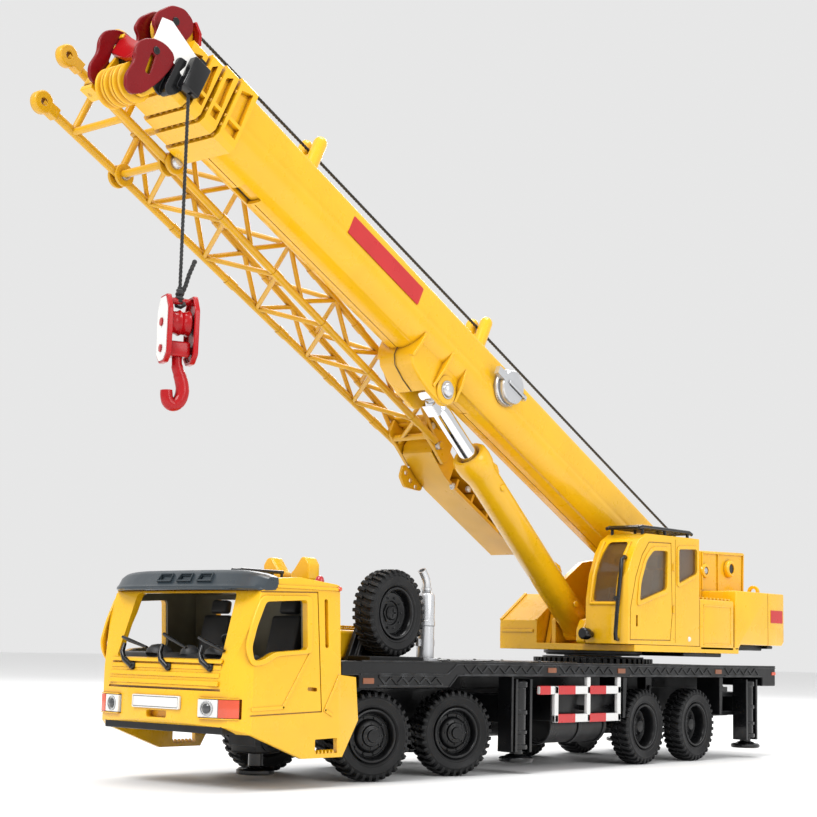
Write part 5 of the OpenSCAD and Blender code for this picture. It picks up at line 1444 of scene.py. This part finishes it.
HEAD_AXLE = (257.3, -11.5)
TOP_AXLE = (252, 10.3)
JIB_PIN = (258.3, -10)
HEAD_PLATE = [(244.8, -7.4), (251, -8.4), (254.6, -14.2), (258.6, -14.8), (260.6, -11.5), (260, -6),
    (258.6, 2.6), (256.4, 5.4), (248.6, 5.4), (244.8, 5.0)]
CHEEK = [(262.9, -6.8), (262.6, -3.6), (260.0, -0.7), (256.4, 0.7), (253.2, 0.4), (251.8, -1.6),
    (252.2, -4.2), (253.4, -8.8), (255.6, -14.2), (258.4, -17.0), (260.6, -16.7), (262.0, -14.2),
    (261.6, -9.6)]
CHEEK_SLOT = [(257.4, -4.0), (258.6, -4.2), (257.9, -9.6), (256.5, -9.2)]
TOP_DISC = [(260.0, 5.6), (259.9, 9.2), (257.4, 13.6), (253.8, 15.6), (250.2, 15.0), (248.9, 12.0),
    (249.8, 8.0), (251.0, 5.0), (251.4, 0.0), (257.4, 0.0), (257.8, 4.6)]


def add_boom_head():
    body, cut = Shape(BOOM), Shape(BOOM)
    wall(body, section_outline(4.3, 4.8, 0.8), 82, 245)
    collar_pieces(body, cut, 244.4, 249.6, 7.5, -8.3, 8.3)
    cut.bar((TOP_AXLE[0], -2.3, TOP_AXLE[1]), (TOP_AXLE[0], 2.3, TOP_AXLE[1]), 6.2, 40)
    body.done("boom_section_4_shell", YELLOW, "boom_head", 0.2, 3, cut=cut, replaces="boom_section_4",
        smooth=44)
    plates = Shape(BOOM)
    for side in (1, -1):
        plates.prism(rounded(HEAD_PLATE, 0.8), *outward(side, 4.9, 6.1))
    for n in (-12.8, 2.6):
        plates.box((JIB_PIN[0] - 2.2, -11.6, n), (JIB_PIN[0] + 2.2, -5 if n > 0 else -7.4, n + 1.3))
        plates.bar((JIB_PIN[0], JIB_PIN[1], n), (JIB_PIN[0], JIB_PIN[1], n + 4.2), 0.9)
    plates.done("boom_head_plates", YELLOW, "boom_head", 0.25, 3)
    studs = Shape(BOOM)
    collar_studs(studs, 249.6, 7.5, -8.3, 8.3)
    studs.done("boom_head_studs", YELLOW, "boom_head", 0.06)
    pins = Shape(BOOM)
    pins.bar((HEAD_AXLE[0], -6.2, HEAD_AXLE[1]), (HEAD_AXLE[0], 6.2, HEAD_AXLE[1]), 1.2)
    pins.bar((TOP_AXLE[0], -3.4, TOP_AXLE[1]), (TOP_AXLE[0], 3.4, TOP_AXLE[1]), 1.2)
    pins.bar((254.6, 2.0, 10.6), (254.6, 4.1, 10.6), 1.0)
    pins.bar((257.8, -6.8, -2.9), (257.8, 7.75, -2.9), 0.95)
    pins.done("boom_head_pins", GLOSS_BLACK, "boom_head", 0.12)
    for side, shift in ((1, (0, 0)), (-1, (1.9, 5.1))):
        name = HAND[side]
        slot = Shape(BOOM).prism(rounded([(u + shift[0], n + shift[1]) for u, n in CHEEK_SLOT], 0.5), -20, 20)
        place = rounded([(u + shift[0], n + shift[1]) for u, n in CHEEK], 1.7)
        cheek = Shape(BOOM).prism(place, *outward(side, 6.4, 7.5))
        cheek.done(f"head_cheek_{name}", RED, "boom_head", 0.35, 4, cut=slot,
            replaces="head_cheeks" if side > 0 else (), smooth=50)
        disc = Shape(BOOM).prism(rounded(TOP_DISC, 1.3), *outward(side, 2.6, 3.8))
        disc.done(f"top_sheave_disc_{name}", RED, "boom_head", 0.35, 4, smooth=50)
    # The bridges take the brighter hook red instead of the head's red: a painted highlight.
    bridge = Shape(BOOM)
    front = [[(262.4, -8.6), (261.2, -9.2), (260.0, -3.8), (261.6, -3.2)], [(260.4, -5.4), (259.4, -5.8),
        (258.6, 0.4), (260.0, 0.8)], [(260.6, -2.0), (259.8, -2.4), (258.8, 4.6), (260.0, 5.0)]]
    bridge.skin([[Vector((u, y, n)) for u, n in ring] for ring, y in zip(front, (6.4, 0, -6.4))])
    bridge.prism([(245.9, 8.2), (245.3, 11.4), (246.6, 14.0), (249.4, 15.6), (249.8, 14.9), (247.4, 13.4),
        (246.3, 11.2), (246.8, 8.2)], -3.8, 3.8)
    bridge.done("head_red_bridges", HOOK_RED, "boom_head", 0.25, 3, smooth=50)
    block = solid(Shape(BOOM).box((243.9, 7.45, -6.5), (249.4, 10.8, 2.4)), 0.5, 3)
    block.box((245.5, 8.3, 2.2), (247.5, 9.9, 3.6))
    block.prism(rounded([(252.1, -9.6), (250.4, -10.6), (248.4, -8.4), (246.8, -4.0), (247.6, 1.2),
        (252.1, 0.4)], 1.0), 6.15, 8.4)
    block.prism(rounded([(254.6, -9.0), (253.2, -10.5), (250.6, -10.6), (250.6, -2.0), (254.6, -2.0)], 0.8),
        5.9, 6.36)
    block.done("head_black_block", GLOSS_BLACK, "boom_head", 0.1)
    tag = Shape(BOOM)
    corners = [(259.3, 5.4, 7.0), (259.2, 6.2, 0.0), (253.4, 6.9, -1.2), (247.9, 9.0, -4.4),
        (246.6, 9.0, -0.1), (248.0, 8.2, 3.9), (256.8, 6.2, 7.7)]
    tag.skin([[Vector(c) + Vector((0, lift, 0)) for c in corners] for lift in (0, 0.35)])
    tag.done("head_blank_tag", PLATE, "boom_head", 0.2, 3)
    sheaves = Shape(BOOM)
    for y in (-3, 0, 3):
        sheaves.lathe([(1.26, y - 1.49), (4.5, y - 1.49), (4.9, y - 1.2), (4.8, y - 0.75), (3.9, y - 0.3),
            (3.9, y + 0.3), (4.8, y + 0.75), (4.9, y + 1.2), (4.5, y + 1.49), (1.26, y + 1.49)],
            (HEAD_AXLE[0], 0, HEAD_AXLE[1]), (0, 1, 0), 64, loop=True)
    sheaves.done("lower_sheave_stack", YELLOW_SHEAVE, "lower_sheaves", 0.12, 3, replaces="head_sheaves",
        smooth=50)
    wheel = Shape(BOOM)
    wheel.lathe([(1.26, -1.8), (5.3, -1.8), (5.65, -1.4), (5.4, -0.9), (4.6, -0.4), (4.6, 0.4), (5.4, 0.9),
        (5.65, 1.4), (5.3, 1.8), (1.26, 1.8)], (TOP_AXLE[0], 0, TOP_AXLE[1]), (0, 1, 0), 64, loop=True)
    wheel.done("upper_sheave_wheel", YELLOW_SHEAVE, "upper_sheave", 0.12, 3, replaces="top_sheave", smooth=50)


# ---------------------------------------------------------------- ropes

ROPE_D = 0.9
ROPE_ROUTE = [(-21, 18.6), (40, 18.1), (118, 17.6), (160, 17.1), (199.6, 16.7), (232, 16.2), (250.4, 15.9)]


def twisted(shape, points, d=ROPE_D, pitch=3.0):
    """Strands laid round a line of points."""
    strands = 3
    points = [Vector(p) for p in points]
    lengths = [0.0]
    for a, b in zip(points, points[1:]):
        lengths.append(lengths[-1] + (b - a).length)
    steps = max(8, int(lengths[-1] / pitch * 9))
    line = []
    for i in range(steps + 1):
        s = lengths[-1] * i / steps
        k = min(len(points) - 2, sum(1 for x in lengths[1:-1] if x <= s))
        t = (s - lengths[k]) / (lengths[k + 1] - lengths[k])
        line.append((points[k].lerp(points[k + 1], t), s))
    along = (points[-1] - points[0]).normalized()
    out = along.orthogonal().normalized()
    side = along.cross(out)
    for n in range(strands):
        path = []
        for p, s in line:
            turn = 2 * pi * (s / pitch + n / strands)
            path.append(p + (out * cos(turn) + side * sin(turn)) * d * 0.24)
        shape.tube(path, d * 0.26, 7)
    return shape


def add_hoist_rope():
    rope = Shape(TRUCK)
    points = [HANG_TOP - Vector((0, 0, 0.1 + HANG_LENGTH * i / 16)) for i in range(17)]
    cord = twisted(rope, points).done("hoist_rope_cord", ROPE, "hook_hanger", 0, replaces="hoist_rope")


def route_at(u):
    for (u0, n0), (u1, n1) in zip(ROPE_ROUTE, ROPE_ROUTE[1:]):
        if u <= u1:
            return n0 + (n1 - n0) * (u - u0) / (u1 - u0)
    return ROPE_ROUTE[-1][1]


def add_boom_rope():
    stretches = (("rope_from_winch", -21, 118, ("turntable", "boom")), ("rope_between_guides", 118, 199.6,
        "boom"), ("rope_stretch_2", 199.6, 216, ("boom", "section_2")),
        ("rope_stretch_3", 216, 233, ("section_2", "section_3")), ("rope_stretch_4", 233, 250.4,
        ("section_3", "boom_head")))
    for name, u0, u1, bodies in stretches:
        shape = Shape(BOOM)
        steps = 6
        points = [(u0 + (u1 - u0) * i / steps, 0, route_at(u0 + (u1 - u0) * i / steps))
            for i in range(steps + 1)]
        if isinstance(bodies, str):
            twisted(shape, points, pitch=3.4).done(name, ROPE, bodies, 0, replaces="rope_run")
            continue
        obj = twisted(shape, points, pitch=3.4).done(name, ROPE, None, 0, replaces="rope_run")
        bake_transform(obj)
    over = Shape(BOOM)
    bend = [(TOP_AXLE[0] + 5.6 * cos(radians(a)), 0, TOP_AXLE[1] + 5.6 * sin(radians(a)))
        for a in range(105, -35, -10)]
    over.tube(bend, ROPE_D / 2, 10)
    over.done("rope_over_sheave", ROPE, "boom_head", 0)
    drop = Shape(TRUCK)
    x, y, z = points_at_winch()
    drop.tube([(x, y, z), (x - 1.5, y + 0.6, z - 0.4), (-223, 1.2, 66.2)], ROPE_D / 2, 10)
    drop.done("rope_onto_drum", ROPE, "turntable", 0)


def points_at_winch():
    start = boom_to_truck(ROPE_ROUTE[0][0], 0, ROPE_ROUTE[0][1])
    return start.x, start.y, start.z


# ---------------------------------------------------------------- hook block

BLOCK_SIDE = [(-2.2, -1), (2.2, -1), (4.2, -4.6), (4, -15), (1.8, -17), (-1.8, -17), (-4, -15), (-4.2, -4.6)]


def add_hook():
    for side in (1, -1):
        name = "right" if side > 0 else "left"
        tray = Shape(BLOCK).prism(rounded(BLOCK_SIDE, 0.5), *outward(side, 2.6, 3.8))
        hollow = Shape(BLOCK).prism(rounded(grown(BLOCK_SIDE, -0.75), 0.4), *outward(side, 2.0, 3.25))
        tray.done(f"hook_block_plate_{name}", HOOK_RED, "hook_hanger", 0.22, 3, cut=hollow,
            replaces="hook_block" if side > 0 else (), smooth=50)
    label = Shape(BLOCK).prism(rounded(grown(BLOCK_SIDE, -0.55), 0.5), -3.95, -3.78)
    label.done("hook_block_blank_label", PLATE, "hook_hanger", 0.03)
    bars = Shape(BLOCK)
    bars.bar((0, -3.5, -2.2), (0, 3.5, -2.2), 0.8)
    for z, r in ((-7.4, 1.0), (-13.6, 0.9)):
        bars.bar((0, -4.35, z), (0, 4.35, z), r, 20)
    bars.lathe([(0.02, -2.6), (2.9, -2.6), (3.1, -2.2), (2.7, -1.5), (2.7, -0.6), (3.1, 0), (2.7, 0.6),
        (2.7, 1.5), (3.1, 2.2), (2.9, 2.6), (0.02, 2.6)], (0, 0, -7.3), (0, 1, 0), 48)
    bars.done("hook_block_bars", HOOK_RED, "hook_hanger", 0.12, 3, smooth=50)
    head = solid(Shape(BLOCK).box((-2.1, -2.6, -15.4), (2.1, 2.6, -11.8)), 0.6, 4,
        cut=Shape(BLOCK).bar((0, 0, -16.5), (0, 0, -11.4), 1.2))
    head.done("hook_crosshead", HOOK_RED, "hook_hanger", 0.1)
    hook = Shape(BLOCK)
    line = [(0, -11.9), (0, -16.4), (0.3, -18.2), (0.95, -19.9), (1.5, -21.8), (1.6, -23.4), (1.2, -25.0),
        (0.3, -26.2), (-0.8, -26.5), (-1.7, -25.8), (-2.1, -24.6), (-2.2, -23.2)]
    radii = [1.1, 1.2, 1.35, 1.5, 1.55, 1.6, 1.6, 1.55, 1.5, 1.5, 1.45, 1.4]
    path = smooth_path([(0, y, z) for y, z in line], 4)
    hook.tube(path, [radii[min(len(radii) - 1, round(i * (len(radii) - 1) / (len(path) - 1)))]
        for i in range(len(path))], 20)
    hook.done("crane_hook", HOOK_RED, "hook_body", 0.15, 3, replaces="hook", smooth=60)
    knot = Shape(BLOCK)
    for z, r, tilt in ((0.3, 0.85, 0.25), (-0.5, 1.05, -0.3), (-1.4, 1.05, 0.3), (-2.3, 0.95, -0.2)):
        knot.lathe([(r * 0.62 + 0.42 * cos(radians(a)), 0.42 * sin(radians(a))) for a in range(0, 360, 45)],
            (0, 0, z), (tilt, 0.1, 1), 18, loop=True)
    knot.tube([(0, 1.0, -1.9), (0.9, 0.9, -3.2), (0.3, 0.3, -3.6), (-0.9, -0.4, -3.2), (-0.6, -0.9, -1.8)],
        0.45, 8)
    knot.bar((0, 0, -2.8), (0, 0, 1.2), 0.6, 10)
    knot.done("hoist_rope_knot", ROPE, "hook_hanger", 0)
    tail = Shape(BLOCK)
    twisted(tail, [(0.2, 0.4, -0.6), (0.4, 1.2, 1.6), (0.4, 1.9, 4.2), (0.4, 3.1, 7.4)], 1.15, 3.2)
    tail.ball((0.4, 3.15, 7.5), 0.6)
    tail.done("hoist_rope_tail", ROPE, "hook_hanger", 0)


def smooth_path(points, steps):
    """A rounded line through the points."""
    points = [Vector(p) for p in points]
    result = []
    for i in range(len(points) - 1):
        p0, p1, p2, p3 = points[max(0, i - 1)], points[i], points[i + 1], points[min(len(points) - 1, i + 2)]
        for k in range(steps):
            t = k / steps
            result.append(0.5 * ((2 * p1) + (p2 - p0) * t + (2 * p0 - 5 * p1 + 4 * p2 - p3) * t * t
                                 + (3 * p1 - p0 - 3 * p2 + p3) * t ** 3))
    return result + [points[-1]]


# ---------------------------------------------------------------- jib

JIB_U = (258.3, 230, 106)
JIB_NEAR_Y, JIB_FAR_Y = (-10, -10.95, -12.6), (-30, -30, -27.4)
JIB_LOW, JIB_HIGH = (-10, -10, -13.4), (5.4, 3.6, -8.4)
JIB_BAYS = 11


def jib_point(t, near, high):
    """A point of the tapering truss: t runs from the hinge to its far end."""
    ys, ns = (JIB_NEAR_Y if near else JIB_FAR_Y), (JIB_HIGH if high else JIB_LOW)
    return Vector((JIB_U[1] + (JIB_U[2] - JIB_U[1]) * t, ys[1] + (ys[2] - ys[1]) * t,
        ns[1] + (ns[2] - ns[1]) * t))


def jib_root(near, high):
    return Vector((JIB_U[0], JIB_NEAR_Y[0] if near else JIB_FAR_Y[0], JIB_HIGH[0] if high else JIB_LOW[0]))


def add_jib():
    chords, lacing, fittings = Shape(BOOM), Shape(BOOM), Shape(BOOM)
    pairs = [(near, high) for near in (True, False) for high in (True, False)]
    for near, high in pairs:
        chords.bar(jib_root(near, high), jib_point(0, near, high), 1.15, 14)
        chords.bar(jib_point(0, near, high), jib_point(1, near, high), 1.05, 14)
    for level in (True, False):
        for t, r in ((0, 1.0), (0.975, 1.0)):
            chords.bar(jib_point(t, False, level), jib_point(t, True, level), r, 12)
        a, b = (jib_root(near, level).lerp(jib_point(0, near, level), 0.4) for near in (False, True))
        chords.bar(a, b, 0.95, 12)
    for near in (True, False):
        chords.bar(jib_point(0, near, False), jib_point(0, near, True), 0.95, 12)
        low, high = (jib_root(near, level).lerp(jib_point(0, near, level), 0.4) for level in (False, True))
        chords.bar(low, high, 0.95, 12)
    for i in range(JIB_BAYS):
        a, b = i / JIB_BAYS, (i + 1) / JIB_BAYS
        odd = i % 2 == 1
        for near in (True, False):
            lacing.bar(jib_point(a, near, not odd), jib_point(b, near, odd), 0.68, 10)
        for level in (True, False):
            lacing.bar(jib_point(a, not odd, level), jib_point(b, odd, level), 0.68, 10)
        if i:
            for near in (True, False):
                p, along = jib_point(a, near, odd), (jib_point(1, near, odd) - jib_point(0, near,
                    odd)).normalized()
                lacing.bar(p - along * 1.7, p + along * 1.7, 1.25, 12)
    for level in (True, False):
        p = jib_root(True, level)
        fittings.lathe([(0.96, -1.2), (2.2, -1.2), (2.4, -0.9), (2.4, 0.9), (2.2, 1.2), (0.96, 1.2)], p,
            (0, 0, 1), 32, loop=True)
        p = jib_root(False, level)
        fittings.lathe([(1.0, -1.2), (2.6, -1.2), (2.9, -0.9), (2.9, 0.9), (2.6, 1.2), (1.0, 1.2)], p,
            (0, 1, 0), 36, loop=True)
        q = p + Vector((-3.2, 0, 0))
        fittings.box(q - Vector((1.8, 1.25, 1.5)), q + Vector((1.2, 1.25, 1.5)))
    for near in (True, False):
        for level in (True, False):
            p = jib_point(0, near, level)
            if level:
                fittings.box(p - Vector((1.8, 1.2, 1.3)), p + Vector((1.8, 1.2, 1.3)))
                continue
            centre = Vector((229.4, p.y, -9.8))
            for dy in (-1.3, 1.3):
                fittings.lathe([(0.02, -0.45), (3.0, -0.45), (3.0, 0.45), (0.02, 0.45)],
                    centre + Vector((0, dy, 0)), (0, 1, 0), 32)
    chords.done("jib_chords", JIB_YELLOW_IN_SHADE, "jib", 0.1, 2, replaces="jib_truss", smooth=50)
    lacing.done("jib_lacing", JIB_YELLOW_IN_SHADE, "jib", 0.08, 2, smooth=50)
    fittings.done("jib_eyes_and_gussets", JIB_YELLOW_IN_SHADE, "jib", 0.2, 3, smooth=50)
    pins = Shape(BOOM)
    pins.bar((229.4, -33.0, -9.8), (229.4, -27.6, -9.8), 1.35, 20)
    pins.bar((229.4, -26.6, -9.8), (229.4, -14.2, -9.8), 0.85, 16)
    pins.lathe([(0.02, -1.6), (1.7, -1.6), (1.7, 0.4), (1.2, 1.0), (0.02, 1.25)], (229.4, -8.9, -9.8),
        (0, 1, 0), 28)
    pins.done("jib_offset_pins", SILVER, "jib", 0.1)
    add_jib_end_fittings()


def add_jib_end_fittings():
    plates = Shape(BOOM)
    for y0, y1 in ((-14, -12.7), (-27.3, -26)):
        plates.prism(rounded([(112, -8.2), (112, -13.6), (106, -15.2), (99.4, -17.4), (98.4, -16.0),
            (98.4, -9.0), (103, -7.4)], 1.0), y0, y1)
    plates.bar((103.6, -28.2, -13.2), (103.6, -11.9, -13.2), 1.1, 20)
    for u in (110.6, 101.2):
        plates.prism([(u, -8.2), (u + 1.0, -8.2), (u + 1.0, -5.4), (u, -5.0)], -14, -12.4)
    plates.prism([(99.2, -8.9), (112, -8.3), (112, -7.4), (99.2, -8.0)], -27.2, -12.8)
    plates.done("jib_end_plates", JIB_YELLOW_IN_SHADE, "jib", 0.25, 3, smooth=50)
    rivets = Shape(BOOM)
    for u, n in ((104.5, -14.0), (109.5, -10.2)):
        rivets.lathe([(0.02, -0.2), (1.25, -0.2), (1.0, 0.5), (0.02, 0.75)], (u, -12.7, n), (0, 1, 0), 24)
    rivets.done("jib_end_rivets", SILVER, "jib", 0.05)
    tip, hollow = Shape(BOOM), Shape(BOOM)
    tip.prism([(104.4, -10.6), (105.0, -13.2), (104.4, -16.0), (96, -19.0), (90, -19.9), (52, -21.0),
        (52, -16.6), (90, -13.6), (98, -10.6)], -25.6, -14.4)
    hollow.prism([(93, -14.6), (93, -18.6), (53.4, -20.0), (53.4, -17.4)], -24.6, -10)
    hollow.prism([(93, -14.6), (93, -18.6), (53.4, -20.0), (53.4, -17.4)], -30, -25.2)
    hollow.bar((103.6, -30, -13.2), (103.6, -10, -13.2), 1.16, 24)
    tip.done("jib_tip_beam", JIB_YELLOW_IN_SHADE, "jib_end", 0.3, 3, cut=hollow, replaces="jib_tip", smooth=50)
    details = Shape(BOOM)
    for i in range(5):
        u = 89 - i * 8.6
        details.prism([(u, -15.6), (u - 1.0, -15.6), (u - 1.0, -19.8), (u, -19.6)], -25.0, -15.2)
    plate = Shape(BOOM).prism(rounded([(98.8, -16.4), (99.0, -17.8), (102.4, -18.2), (102.0, -22.2),
        (98.6, -24.0), (91.6, -21.2), (91.6, -18)], 0.9), -26.6, -25.6)
    holes = Shape(BOOM)
    for u, n in ((100.2, -19.9), (97.3, -20.9), (94.4, -21.3)):
        holes.bar((u, -30, n), (u, -20, n), 0.72, 20)
    plate.done("jib_tip_hole_plate", JIB_YELLOW_IN_SHADE, "jib_end", 0.15, 2, cut=holes)
    details.done("jib_tip_ribs", JIB_YELLOW_IN_SHADE, "jib_end", 0.15, 2)
    studs = Shape(BOOM)
    for u, n in ((91, -19.5), (84, -16.5), (64, -19.5)):
        studs.lathe([(0.02, -0.3), (1.1, -0.3), (0.9, 0.4), (0.02, 0.6)], (u, -14.5, n), (0, 1, 0), 24)
    studs.done("jib_tip_studs", SILVER, "jib_end", 0.05)


# ---------------------------------------------------------------- floor and light

def add_stage():
    floor = bpy.data.meshes.new("floor")
    reach = 3.0
    floor.from_pydata([(-reach, -reach, 0), (reach, -reach, 0), (reach, reach, 0), (-reach, reach, 0)], [],
        [(0, 1, 2, 3)])
    obj = bpy.data.objects.new("floor", floor)
    bpy.context.scene.collection.objects.link(obj)
    look = bpy.data.materials.new("pale_floor")
    look.use_nodes = True
    shader = look.node_tree.nodes["Principled BSDF"]
    shader.inputs["Base Color"].default_value = (0.86, 0.86, 0.86, 1)
    shader.inputs["Roughness"].default_value = 0.7
    floor.materials.append(look)
    world = bpy.data.worlds.new("studio")
    world.use_nodes = True
    world.node_tree.nodes["Background"].inputs["Color"].default_value = (1, 1, 1, 1)
    world.node_tree.nodes["Background"].inputs["Strength"].default_value = 0.8
    bpy.context.scene.world = world
    bpy.context.scene.view_settings.view_transform = "Standard"
    target = Vector((0.0, 0.0, 0.07))
    lamps = (("key", (0.70, 0.05, 0.75), 0.45, 5.0), ("fill", (0.05, 0.85, 0.40), 0.5, 2.0),
        ("top", (-0.15, 0.05, 0.95), 0.5, 4.0), ("rim", (-0.6, -0.45, 0.5), 0.4, 2.0))
    for name, place, size, power in lamps:
        data = bpy.data.lights.new(name, "AREA")
        data.shape = "DISK"
        data.size = size
        data.energy = power
        lamp = bpy.data.objects.new(name, data)
        lamp.location = place
        lamp.rotation_euler = (target - Vector(place)).to_track_quat("-Z", "Y").to_euler()
        bpy.context.scene.collection.objects.link(lamp)


add_camera()
add_hoist_rope()
add_boom_rope()
add_wheels()
add_spare_wheel()
add_cab()
add_interior()
add_visor()
add_behind_cab()
add_chassis()
add_deck()
add_side_guards()
add_outriggers()
add_slew_ring()
add_crane_cab()
add_superstructure()
add_cylinder()
add_boom_base()
add_boom_sections()
add_boom_head()
add_hook()
add_jib()
add_stage()
